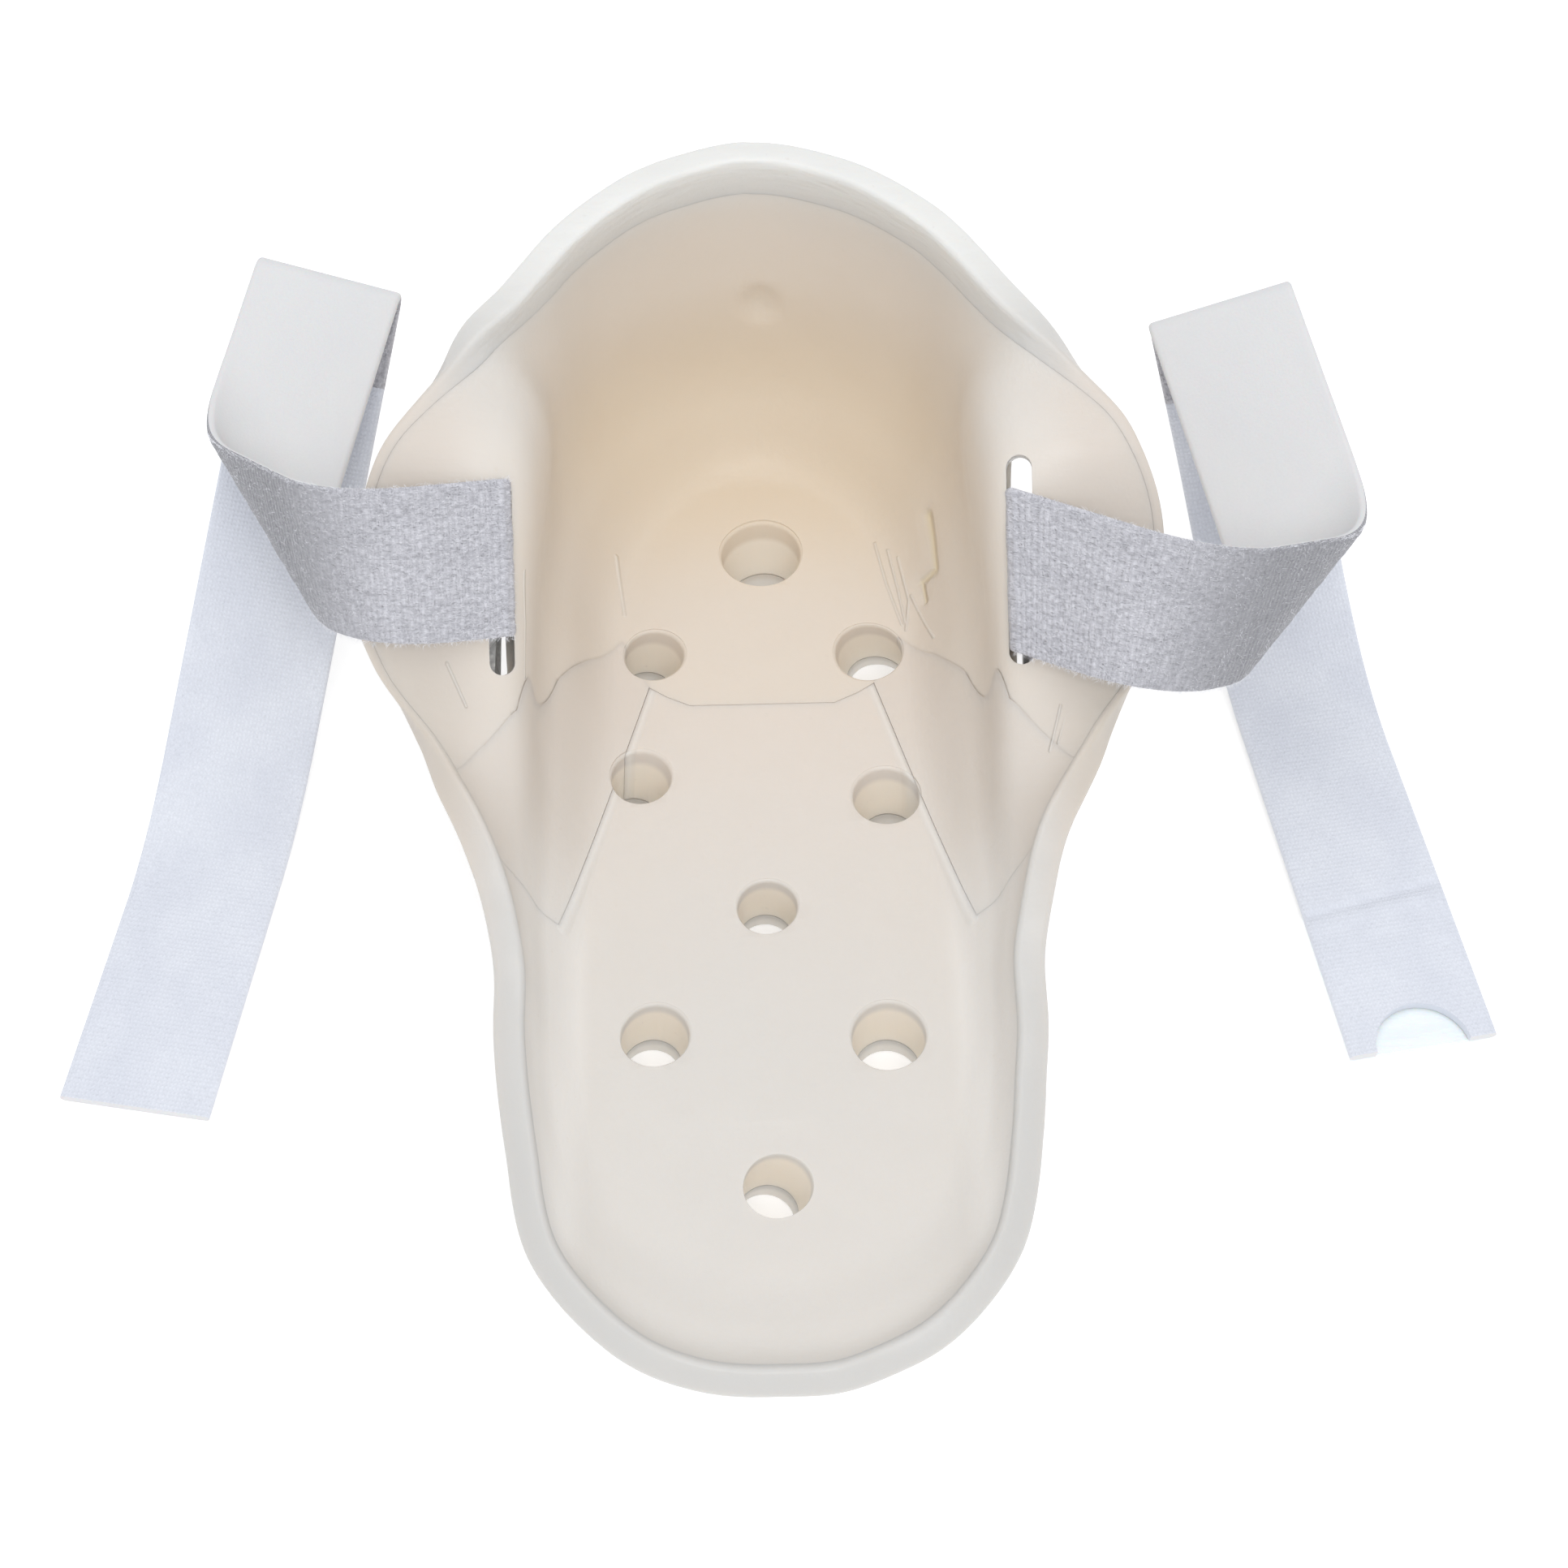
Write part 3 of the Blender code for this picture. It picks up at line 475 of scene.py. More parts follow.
def pile_material(name, light, dark):
    """Loop pile: tufts in rows along the strap, with painted shade where tufts sink and along the curl, and
    painted highlights on the fibres.
    """
    made, tree, shader = material_nodes(name)
    coords = strap_coords(tree)
    tufts = noise(tree, stretched(tree, coords, (700.0, 1500.0, 1.0)), 1.0, 3.0, 0.65)
    brushed = noise(tree, stretched(tree, coords, (70.0, 160.0, 1.0)), 1.0, 2.0, 0.5)
    rows = wave(tree, coords, 330.0, "X", 3.0)
    fibre = noise(tree, stretched(tree, coords, (1800.0, 3600.0, 1.0)), 1.0, 2.0, 0.7)
    shade = calc(tree, "ADD", calc(tree, "MULTIPLY", tufts, 0.8), calc(tree, "MULTIPLY", brushed, 0.2))
    # Lower tufts painted darker: painted shade between them, mixed with brushed patches of tone.
    color = mix(tree, ramp(tree, shade, 0.32, 0.66), dark, light)
    color = mix(tree, ramp(tree, rows, 0.2, 0.8, 0.0, 0.3), color, dark)
    split = tree.nodes.new("ShaderNodeSeparateXYZ")
    tree.links.new(coords, split.inputs[0])
    # Painted shade along the strap's curl, past the slot.
    curl_shade = ramp(tree, split.outputs[0], 0.016, 0.042, 0.0, 0.8)
    curl_shade = calc(tree, "MULTIPLY", curl_shade, ramp(tree, split.outputs[0], 0.090, 0.070))
    color = mix(tree, curl_shade, color, tuple(0.55 * c for c in dark))
    # Painted highlights: bright glints on the fibres.
    glint = ramp(tree, fibre, 0.64, 0.74, 0.0, 0.8)
    color = mix(tree, glint, color, (0.93, 0.94, 0.97))
    tree.links.new(color, shader.inputs["Base Color"])
    fixed(shader, Roughness=0.75, Sheen_Weight=0.35, Sheen_Roughness=0.4, Specular_IOR_Level=0.3)
    normal = bump(tree, tufts, 0.0006)
    normal = bump(tree, rows, 0.00012, normal)
    normal = bump(tree, fibre, 0.00025, normal)
    tree.links.new(normal, shader.inputs["Normal"])
    return made


def knit_material(name, light, dark):
    """Fine warp knit: tiny staggered stitches with soft uneven patches, and painted shade between the
    stitches.
    """
    made, tree, shader = material_nodes(name)
    coords = strap_coords(tree)
    ribs = wave(tree, coords, 480.0, "Y", 0.6)
    courses = wave(tree, coords, 400.0, "X", 0.9)
    stitch = calc(tree, "MULTIPLY", ribs, courses)
    fuzz = noise(tree, stretched(tree, coords, (1500.0, 1500.0, 1.0)), 1.0, 2.0, 0.6)
    cloud = noise(tree, stretched(tree, coords, (60.0, 80.0, 1.0)), 1.0, 3.0, 0.5)
    color = mix(tree, ramp(tree, cloud, 0.3, 0.7), dark, light)
    raised = calc(tree, "ADD", calc(tree, "MULTIPLY", stitch, 0.5), calc(tree, "MULTIPLY", fuzz, 0.6))
    # Painted shade: low spots between the stitches darker.
    color = mix(tree, ramp(tree, raised, 0.25, 0.62, 0.35, 0.0), color, tuple(0.80 * c for c in dark))
    tree.links.new(color, shader.inputs["Base Color"])
    fixed(shader, Roughness=0.85, Sheen_Weight=0.2, Specular_IOR_Level=0.25)
    normal = bump(tree, stitch, 0.00010)
    normal = bump(tree, fuzz, 0.00012, normal)
    tree.links.new(normal, shader.inputs["Normal"])
    return made


def smooth_tape_material(name, light, dark):
    """The strap's plain face: smooth laminated foam with a very fine texture."""
    made, tree, shader = material_nodes(name)
    coords = strap_coords(tree)
    cloud = noise(tree, stretched(tree, coords, (50.0, 90.0, 1.0)), 1.0, 2.0, 0.5)
    fine = noise(tree, stretched(tree, coords, (2200.0, 2200.0, 1.0)), 1.0, 2.0, 0.5)
    color = mix(tree, cloud, dark, light)
    color = mix(tree, ramp(tree, fine, 0.4, 0.65, 0.0, 0.06), color, (0.55, 0.55, 0.57))
    tree.links.new(color, shader.inputs["Base Color"])
    tree.links.new(ramp(tree, cloud, 0.2, 0.8, 0.55, 0.7), shader.inputs["Roughness"])
    fixed(shader, Specular_IOR_Level=0.3, Subsurface_Weight=0.1, Subsurface_Scale=0.002)
    tree.links.new(bump(tree, fine, 0.00004), shader.inputs["Normal"])
    return made


def hook_material(name):
    """Hook tape: rows of stiff little hooks, with painted shade between them."""
    made, tree, shader = material_nodes(name)
    coords, _ = position(tree)
    dots = tree.nodes.new("ShaderNodeTexVoronoi")
    tree.links.new(coords, dots.inputs["Vector"])
    dots.inputs["Scale"].default_value = 900.0
    apart = ramp(tree, dots.outputs["Distance"], 0.1, 0.5)
    # Painted shade: darker away from each hook, down in the gaps.
    color = mix(tree, apart, (0.88, 0.89, 0.88), (0.62, 0.63, 0.63))
    tree.links.new(color, shader.inputs["Base Color"])
    fixed(shader, Roughness=0.45)
    tree.links.new(bump(tree, dots.outputs["Distance"], -0.0005), shader.inputs["Normal"])
    return made


def tab_material(name):
    """Smooth pale plastic with faint streaks."""
    made, tree, shader = material_nodes(name)
    coords, _ = position(tree)
    streak = noise(tree, stretched(tree, coords, (120.0, 600.0, 600.0)), 1.0, 3.0, 0.5)
    color = mix(tree, streak, (0.80, 0.87, 0.90), (0.90, 0.95, 0.97))
    tree.links.new(color, shader.inputs["Base Color"])
    tree.links.new(ramp(tree, streak, 0.3, 0.7, 0.2, 0.35), shader.inputs["Roughness"])
    fixed(shader, Subsurface_Weight=0.2, Subsurface_Scale=0.002)
    tree.links.new(bump(tree, streak, 0.00008), shader.inputs["Normal"])
    return made


def table_noise(x, y, seed):
    """Smooth value noise from -1 to 1 at each (x, y)."""
    table = np.random.default_rng(seed).uniform(-1.0, 1.0, (64, 64))
    i, j = np.floor(x).astype(int), np.floor(y).astype(int)
    fx, fy = x - i, y - j
    fx, fy = fx * fx * (3.0 - 2.0 * fx), fy * fy * (3.0 - 2.0 * fy)
    near = table[i % 64, j % 64] * (1.0 - fx) + table[(i + 1) % 64, j % 64] * fx
    far = table[i % 64, (j + 1) % 64] * (1.0 - fx) + table[(i + 1) % 64, (j + 1) % 64] * fx
    return near * (1.0 - fy) + far * fy


def catmull_rom(t, before, here, after, further):
    """A place between here and after, at share t, on a smooth curve through all four."""
    a = -0.5 * t + t * t - 0.5 * t**3
    b = 1.0 - 2.5 * t * t + 1.5 * t**3
    c = 0.5 * t + 2.0 * t * t - 1.5 * t**3
    d = 0.5 * (t**3 - t * t)
    return a * before + b * here + c * after + d * further


def smoothed(keys, steps):
    """A closed Catmull-Rom curve through the keys, with the given steps between two of them."""
    keys = np.array(keys, float)
    before, after, further = np.roll(keys, 1, 0), np.roll(keys, -1, 0), np.roll(keys, -2, 0)
    rows = []
    for k in range(len(keys)):
        for t in np.arange(steps) / steps:
            rows.append(catmull_rom(t, before[k], keys[k], after[k], further[k]))
    return np.array(rows)


def floor_height(y):
    along = (y - FLOOR_TOE_Y) / (FLOOR_HEEL_Y - FLOOR_TOE_Y)
    return FLOOR_TOE + (FLOOR_HEEL - FLOOR_TOE) * along


def guide_curves():
    """The four guides as closed curves, counter-clockwise from the toe. Shape (stations, 4, 3)."""
    curves = []
    for row in range(4):
        right = []
        for guide in GUIDES:
            x, y = guide[row][:2]
            right.append((x, y, guide[row][2] if row else floor_height(y)))
        left = [(-x, y, z) for x, y, z in reversed(right[1:-1])]
        curves.append(smoothed(right + left, STEPS_ROUND))
    curves = np.stack(curves, 1)
    way = curves[:, 3] - curves[:, 2]
    way /= np.linalg.norm(way, axis=1)[:, None]
    turn = np.arctan2(curves[:, 3, 0], -curves[:, 3, 1] - 5.0)
    ring = 64.0 / (2.0 * math.pi)
    uneven = table_noise(turn * ring, turn * 0.0, 3) * 0.6
    uneven = uneven + table_noise(turn * ring * 0.5 + 7.0, turn * 0.0, 4)
    curves[:, 3] += way * (uneven * RIM_WOBBLE)[:, None]
    return curves


CURVES = guide_curves()
STATIONS = len(CURVES)


def base_surface(u):
    """Points of the inner surface: u is 0 at the floor's edge, 1 and 2 on the wall guides, 3 at the rim."""
    u = np.broadcast_to(u, (STATIONS, np.shape(u)[-1]))
    p0, p1, p2, p3 = (CURVES[:, k] for k in range(4))
    d0, d1, d2 = (np.linalg.norm(b - a, axis=1)[:, None] for a, b in ((p0, p1), (p1, p2), (p2, p3)))
    out = p1 - p0
    out[:, 2] = 0.0
    m0 = out / np.linalg.norm(out, axis=1)[:, None]
    m1 = ((p1 - p0) / d0 * d1 + (p2 - p1) / d1 * d0) / (d0 + d1)
    m2 = ((p2 - p1) / d1 * d2 + (p3 - p2) / d2 * d1) / (d1 + d2)
    m3 = 1.5 * (p3 - p2) / d2 - 0.5 * m2
    points = np.zeros(u.shape + (3,))
    spans = ((p0, p1, m0, m1, d0), (p1, p2, m1, m2, d1), (p2, p3, m2, m3, d2))
    for k, (a, b, ma, mb, d) in enumerate(spans):
        inside = (u >= k) & ((u < k + 1) | (k == 2))
        t = (u - k)[..., None]
        h00 = 2 * t**3 - 3 * t**2 + 1
        h10 = t**3 - 2 * t**2 + t
        h01 = 3 * t**2 - 2 * t**3
        h11 = t**3 - t**2
        here = h00 * a[:, None] + h10 * (ma * d)[:, None]
        here = here + h01 * b[:, None] + h11 * (mb * d)[:, None]
        points = np.where(inside[..., None], here, points)
    return points


def outward_normals(u):
    """Unit normals of the inner surface, pointing away from the foot."""
    step = 0.02
    low = np.clip(u, 0.0, 3.0 - step)
    along_u = base_surface(low + step) - base_surface(low)
    here = base_surface(u)
    along_s = np.roll(here, -1, 0) - np.roll(here, 1, 0)
    normal = np.cross(along_s, along_u)
    return normal / np.linalg.norm(normal, axis=2)[..., None]


def fillet(u):
    return np.clip(1.0 - u / FILLET_END_U, 0.0, 1.0) ** 2


def rim_inset():
    """How far below the rim the liner ends at each station, in millimetres."""
    y = CURVES[:, 3, 1]
    share = np.clip((y - INSET_GROWS_FROM_Y) / INSET_GROWS_OVER, 0.0, 1.0)
    share = share * share * (3.0 - 2.0 * share)
    return LINER_INSET + (LINER_INSET_HEEL - LINER_INSET) * share


def last_wall():
    return np.linalg.norm(CURVES[:, 3] - CURVES[:, 2], axis=1)


def liner_thickness(u):
    """Liner thickness at each (station, u): thick under the foot, skived towards its edge."""
    floor = CURVES[:, 0, 2][:, None]
    base = LINER_WALL + (floor - SOLE_SHELL - GAP - LINER_WALL) * fillet(u)
    length = last_wall()[:, None]
    left = (3.0 - u) * length - rim_inset()[:, None]
    share = np.clip(left / np.minimum(SKIVE, 0.8 * length), 0.0, 1.0)
    return LINER_EDGE + (base - LINER_EDGE) * np.where(u > 2.0, share, 1.0)


def wall_thickness(u):
    floor = CURVES[:, 0, 2][:, None]
    return WALL + (floor - WALL) * fillet(u)


def wobble(points):
    """Slow unevenness of a moulded wall, fading out towards the floor."""
    x, y, z = points[..., 0], points[..., 1], points[..., 2]
    slow = table_noise(x / 17.0 + y / 19.0 + 20.0, z / 15.0 + y / 23.0 + 20.0, 11)
    quick = table_noise((x + y) / 7.0 + 30.0, (z - y) / 8.0 + 30.0, 12) * 0.35
    fade = np.clip((z - 12.0) / 10.0, 0.0, 1.0)
    return (slow + quick) * WALL_WOBBLE * fade


def offset_surface(u, distance, bottom=None):
    here = base_surface(u)
    points = here + outward_normals(u) * (distance + wobble(here))[..., None]
    if bottom is not None:
        points[:, 0, :2] = CURVES[:, 0, :2]
        points[:, 0, 2] = bottom
    return points


def relaxed(grid, first=20, rounds=12):
    """Evens out a wall's upper rings, so that it doesn't fold over itself where it turns sharply."""
    grid = grid.copy()
    for _ in range(rounds):
        grid[:, first:-1] = (grid[:, first - 1 : -2] + 2.0 * grid[:, first:-1] + grid[:, first + 1 :]) / 4.0
        round_about = (np.roll(grid, 1, 0) + 2.0 * grid + np.roll(grid, -1, 0)) / 4.0
        grid[:, first:-1] = round_about[:, first:-1]
    return grid


def rings_to_middle(ring, shares):
    """Rings that shrink from an outline towards the foot's middle line."""
    middle = np.stack((np.zeros(STATIONS), np.clip(ring[:, 1], -50.0, 55.0)), 1)
    rings = []
    for share in shares:
        xy = middle + (ring[:, :2] - middle) * share
        rings.append(np.concatenate((xy, ring[:, 2:3]), 1))
    return rings


def smooth_by_angle(mesh, degrees):
    mesh.polygons.foreach_set("use_smooth", np.ones(len(mesh.polygons), bool))
    mesh.set_sharp_from_angle(angle=math.radians(degrees))


def new_object(name, points, faces, mats=(), degrees=35.0):
    mesh = bpy.data.meshes.new(name)
    points = np.array(points, float) * MM
    mesh.from_pydata([tuple(p) for p in points.tolist()], [], faces)
    build = bmesh.new()
    build.from_mesh(mesh)
    bmesh.ops.recalc_face_normals(build, faces=build.faces[:])
    build.to_mesh(mesh)
    build.free()
    for mat in mats:
        mesh.materials.append(mat)
    smooth_by_angle(mesh, degrees)
    obj = bpy.data.objects.new(name, mesh)
    bpy.context.scene.collection.objects.link(obj)
    return obj


def bowl(name, inner, outer, mats):
    """A closed bowl between inner and outer rings, both from the middle of the floor to the rim."""
    rings = inner + outer[::-1]
    points = np.concatenate(rings)
    faces = []
    for k in range(len(rings) - 1):
        a, b = k * STATIONS, (k + 1) * STATIONS
        for s in range(STATIONS):
            n = (s + 1) % STATIONS
            faces.append((a + s, a + n, b + n, b + s))
    last = (len(rings) - 1) * STATIONS
    half = STATIONS // 2
    for first in (0, last):
        for s in range(half):
            near, far = (STATIONS - s) % STATIONS, STATIONS - s - 1
            corners = [first + s, first + s + 1, first + far, first + near]
            faces.append(tuple(dict.fromkeys(corners)))
    return new_object(name, points, faces, mats)


FLOOR_SHARES = (0.06, 0.16, 0.28, 0.4, 0.52, 0.64, 0.76, 0.88)


def liner_u():
    """The lining's rows, as u at each station, from the floor's edge to the lining's end."""
    rows_low, rows_mid, rows_high = LINER_ROWS
    end = 3.0 - rim_inset() / last_wall()
    low = np.concatenate((np.linspace(0.0, 1.0, rows_low), np.linspace(1.0, 2.0, rows_mid)[1:]))
    low = np.broadcast_to(low, (STATIONS, len(low)))
    high = 2.0 + (end[:, None] - 2.0) * np.linspace(0.0, 1.0, rows_high)[1:]
    return np.concatenate((low, high), 1)


def with_floor(grid):
    """A grid's rings with the floor's rings put before them."""
    return rings_to_middle(grid[:, 0], FLOOR_SHARES) + [grid[:, k] for k in range(grid.shape[1])]


def rim_rounding():
    """The rim's rounded corners: rings from the inner wall over the edge to the outer wall."""
    rings = []
    for side, offset in ((1.0, 0.0), (-1.0, WALL)):
        angles = np.radians((15.0, 40.0, 65.0, 90.0))
        for angle in angles if side > 0 else angles[::-1]:
            down = RIM_ROUND * (1.0 - math.sin(angle))
            out = offset + side * RIM_ROUND * (1.0 - math.cos(angle))
            u = 3.0 - down / last_wall()[:, None]
            rings.append(offset_surface(u, np.full(u.shape, out))[:, 0])
    return rings


def dented(inner):
    """How deep the lining is pressed in: a shallow dimple with a lip at the heel, and a torn spot."""
    x, y, z = inner[..., 0], inner[..., 1], inner[..., 2]
    push = np.zeros(x.shape)
    back = y > 70.0
    reach = np.sqrt(((x - DIMPLE_AT[0]) / DIMPLE_SIZE[0]) ** 2 + ((z - DIMPLE_AT[1]) / DIMPLE_SIZE[1]) ** 2)
    push += np.where(back, DIMPLE_DEPTH * np.clip(1.0 - reach**2, 0.0, 1.0) ** 1.2, 0.0)
    lip = np.exp(-(((reach - 1.25) / 0.22) ** 2))
    push -= np.where(back, LIP_HEIGHT * lip * (z < LIP_BELOW_Z), 0.0)
    for a, b, width, _ in TORN:
        a, b = np.array(a), np.array(b)
        share = np.clip(np.dot(inner - a, b - a) / np.dot(b - a, b - a), 0.0, 1.0)
        apart = np.linalg.norm(inner - a - share[..., None] * (b - a), axis=-1)
        push = np.maximum(push, TORN_DEPTH * np.clip(1.0 - (apart / (1.6 * width)) ** 2, 0.0, 1.0))
    return push


def liner_piece(name, region, cutter, mat):
    u = liner_u()
    surface = base_surface(u)
    fade = np.clip((u[:, -1:] - u) / 0.5, 0.0, 1.0) * np.clip((surface[..., 1] + 16.0) / 12.0, 0.0, 1.0)
    inner = offset_surface(u, dented(surface) - RAISED.get(name, 0.0) * fade)
    outer = offset_surface(u, liner_thickness(u), SOLE_SHELL + GAP)
    obj = bowl(name, with_floor(inner), with_floor(outer), [mat])
    trim(obj, region, "INTERSECT")
    trim(obj, cutter, "DIFFERENCE")
    smooth_by_angle(obj.data, SHELL_SMOOTH)
    return obj


def shell_piece(name, cutter, mat):
    u = liner_u()
    ledge = u[:, -1:] + SEAM_GAP / last_wall()[:, None]
    rise = np.linspace(0.0, 1.0, BAND_ROWS + 1)[:-1]
    band = ledge + (3.0 - RIM_ROUND / last_wall()[:, None] - ledge) * rise
    reach = np.concatenate((liner_thickness(u) + GAP, np.zeros(band.shape)), 1)
    u = np.concatenate((u, band), 1)
    inner = offset_surface(u, reach, SOLE_SHELL)
    outer = relaxed(offset_surface(u, wall_thickness(u), 0.0))
    corner = rim_rounding()
    half = len(corner) // 2
    rings = with_floor(inner) + corner[:half]
    obj = bowl(name, rings, with_floor(outer) + corner[half:][::-1], [mat])
    trim(obj, cutter, "DIFFERENCE")
    smooth_by_angle(obj.data, SHELL_SMOOTH)
    return obj


def trim(obj, other, operation):
    """Applies an exact Boolean to a piece's mesh."""
    step = obj.modifiers.new("trim", "BOOLEAN")
    step.operation = operation
    step.solver = "EXACT"
    step.object = other
    graph = bpy.context.evaluated_depsgraph_get()
    made = bpy.data.meshes.new_from_object(obj.evaluated_get(graph))
    obj.modifiers.clear()
    old = obj.data
    obj.data = made
    bpy.data.meshes.remove(old)


def stacked_faces(count, rings):
    """Faces of a closed solid from rings of the given count of points, one after the other."""
    last = (rings - 1) * count
    faces = [tuple(range(count)), tuple(reversed(range(last, last + count)))]
    for low in range(0, last, count):
        high = low + count
        for k in range(count):
            n = (k + 1) % count
            faces.append((low + k, high + k, high + n, low + n))
    return faces


def prism_mesh(outline, direction, reach):
    direction = np.array(direction, float)
    direction /= np.linalg.norm(direction)
    outline = np.array(outline, float)
    points = np.concatenate((outline - direction * reach, outline + direction * reach))
    return points, stacked_faces(len(outline), 2)


def hole_mesh(x, y, diameter, dx, dy):
    """A drill through the sole with a slightly rounded lip at the top and bottom."""
    top = floor_height(y)
    radius = diameter / 2
    small = radius * HOLE_TAPER
    lip = ((6.0, 0.5), (0.0, 0.5), (-0.1, 0.25), (-0.35, 0.06), (-0.7, 0.0))
    foot = ((0.7, 0.0), (0.25, 0.08), (-0.02, 0.45), (-2.0, 0.45))
    profile = [(height, radius + wider) for height, wider in lip]
    profile += [(height - top, small + wider) for height, wider in foot]
    slope = np.array((dx, dy, -top)) / top
    points = []
    for height, r in profile:
        centre = np.array((x, y, top)) - slope * height
        for k in range(HOLE_SIDES):
            angle = 2.0 * math.pi * k / HOLE_SIDES
            wavy = r * (1.0 + 0.012 * math.sin(2 * angle + x) + 0.008 * math.sin(3 * angle + y))
            points.append(centre + np.array((wavy * math.cos(angle), wavy * math.sin(angle), 0.0)))
    return np.array(points), stacked_faces(HOLE_SIDES, len(profile))


def slot_frame(side):
    """Ends of the slot's centre line, its direction, the cut's direction and the way across it."""
    flip = np.array((side, 1.0, 1.0))
    low, high = np.array(SLOT_LOW) * flip, np.array(SLOT_HIGH) * flip
    along = (high - low) / np.linalg.norm(high - low)
    cut = np.array(SLOT_LEAN) * flip
    cut /= np.linalg.norm(cut)
    across = np.cross(along, cut)
    across *= side * np.sign(across[0]) / np.linalg.norm(across)
    return low, high, along, cut, across


def slot_mesh(side):
    low, high, along, cut, across = slot_frame(side)
    radius = SLOT_WIDTH / 2
    if side < 0:
        high = high - along * SLOT_LEFT_SHORT
    top, bottom = [], []
    upper_end = (high - along * radius, 0.0, SLOT_DEEP[1])
    lower_end = (low + along * radius, math.pi, SLOT_DEEP[0])
    for centre, turn, deep in (upper_end, lower_end):
        for k in range(SLOT_STEPS + 1):
            angle = turn + math.pi * k / SLOT_STEPS
            place = centre + radius * (across * math.cos(angle) + along * math.sin(angle))
            top.append(place + cut * SLOT_ABOVE)
            bottom.append(place - cut * deep)
    return np.array(top + bottom), stacked_faces(len(top), 2)


def joined(name, parts):
    points, faces = [], []
    for some, more in parts:
        start = sum(len(p) for p in points)
        points.append(np.array(some, float))
        faces += [tuple(start + i for i in face) for face in more]
    return helper(new_object(name, np.concatenate(points), faces))


def helper(obj):
    obj.hide_render = True
    obj.hide_viewport = True
    return obj


def shifted(line, distance):
    """A polyline moved sideways: to its left for a positive distance."""
    line = np.array(line, float)
    moved = []
    for k in range(len(line)):
        before = line[k] - line[k - 1] if k else line[1] - line[0]
        after = line[k + 1] - line[k] if k + 1 < len(line) else before
        before, after = before / np.linalg.norm(before), after / np.linalg.norm(after)
        n1, n2 = np.array((-before[1], before[0])), np.array((-after[1], after[0]))
        bisector = (n1 + n2) / (1.0 + np.dot(n1, n2))
        moved.append(line[k] + bisector * distance)
    return moved


def liner_regions():
    """Plan outlines of the liner's pieces, with the gap left between them."""
    seam = shifted(HEEL_SEAM, SEAM_GAP / 2)
    heel = [(-x, y) for x, y in reversed(seam[1:])] + [tuple(p) for p in seam]
    heel += [(BEYOND_X, BEYOND_Y), (-BEYOND_X, BEYOND_Y)]
    below = shifted(HEEL_SEAM, -SEAM_GAP / 2)
    inside = shifted(FLOOR_SEAM, -SEAM_GAP / 2)
    outside = shifted(FLOOR_SEAM, SEAM_GAP / 2)
    x, y = HEEL_SEAM[SEAM_CORNER]
    gusset = [tuple(p) for p in outside[1:][::-1]]
    gusset += [(x + SEAM_GAP * 0.6, y)] + [tuple(p) for p in below[SEAM_CORNER + 1 :]]
    right = [tuple(p) for p in below[:SEAM_CORNER]] + [(x - SEAM_GAP, y - SEAM_GAP)]
    right += [tuple(p) for p in inside[1:]]
    floor = [(-x, y) for x, y in reversed(right[1:])] + right
    floor += [(BEYOND_X, -BEYOND_Y), (-BEYOND_X, -BEYOND_Y)]
    return heel, floor, gusset, [(-x, y) for x, y in gusset]


def region_cutter(name, outline):
    points, faces = prism_mesh([(x, y, 0.0) for x, y in outline], (0.0, 0.0, 1.0), BEYOND_Z)
    return helper(new_object(name, points, faces))


def folded(s, t, n, bends):
    """Folds a flat ribbon. s runs along it, t across it and n is height above its middle plane."""
    x, y, z = s.copy(), t.copy(), n.copy()
    for start, skew, angle, radius in reversed(bends):
        cos, sin = math.cos(skew), math.sin(skew)
        sign, turn = math.copysign(1.0, angle), abs(angle)
        first, zone = start * cos, turn * radius
        across, along, height = x * cos - y * sin - first, x * sin + y * cos, z
        flat = s * cos - t * sin - first
        arc = np.clip(flat, 0.0, zone) / radius
        reach = radius - sign * height
        beyond = across - zone
        in_arc = (reach * np.sin(arc), sign * (radius - reach * np.cos(arc)))
        past = (
            radius * math.sin(turn) + beyond * math.cos(turn) - sign * height * math.sin(turn),
            sign * (radius * (1.0 - math.cos(turn)) + beyond * math.sin(turn)) + height * math.cos(turn),
        )
        across = np.where(flat <= 0.0, across, np.where(flat < zone, in_arc[0], past[0]))
        height = np.where(flat <= 0.0, height, np.where(flat < zone, in_arc[1], past[1]))
        x, y, z = (across + first) * cos + along * sin, along * cos - (across + first) * sin, height
    return np.stack((x, y, z), -1)


def strap_frame(strap):
    along, across = np.array(strap["along"]), np.array(strap["across"])
    across = across - along * np.dot(across, along)
    along, across = along / np.linalg.norm(along), across / np.linalg.norm(across)
    away = np.cross(along, across)
    away *= -math.copysign(1.0, away[2])
    return np.array(strap["start"]), along, across, away


def strap_points(strap, bends, s, t, n):
    start, along, across, away = strap_frame(strap)
    s, t, n = (np.array(v, float) for v in np.broadcast_arrays(s, t, n))
    q = folded(s, t, n, bends)
    return start + q[..., 0:1] * along + q[..., 1:2] * across + q[..., 2:3] * away


def landed_bends(strap):
    """The strap's bends, with one more that lays its end flat at the rest height."""
    bends = strap["bends"]
    place, skew, angle, radius = bends[-1]
    s = place + abs(angle) * radius + LANDING_PROBE
    probe = strap_points(strap, bends, [s, s + 1.0, s], [0.0, 0.0, 1.0], 0.0)
    fall, tilt = probe[1, 2] - probe[0, 2], probe[2, 2] - probe[0, 2]
    skew = math.atan2(-tilt, fall)
    skew -= math.pi * round(skew / math.pi)
    slope = math.cos(skew) * fall - math.sin(skew) * tilt
    angle = math.asin(-slope)
    height = strap["rest"] + LANDING_RADIUS * (1.0 - math.cos(angle))
    place = s + (height - probe[0, 2]) / fall
    return bends + ((place, skew, -angle, LANDING_RADIUS),)


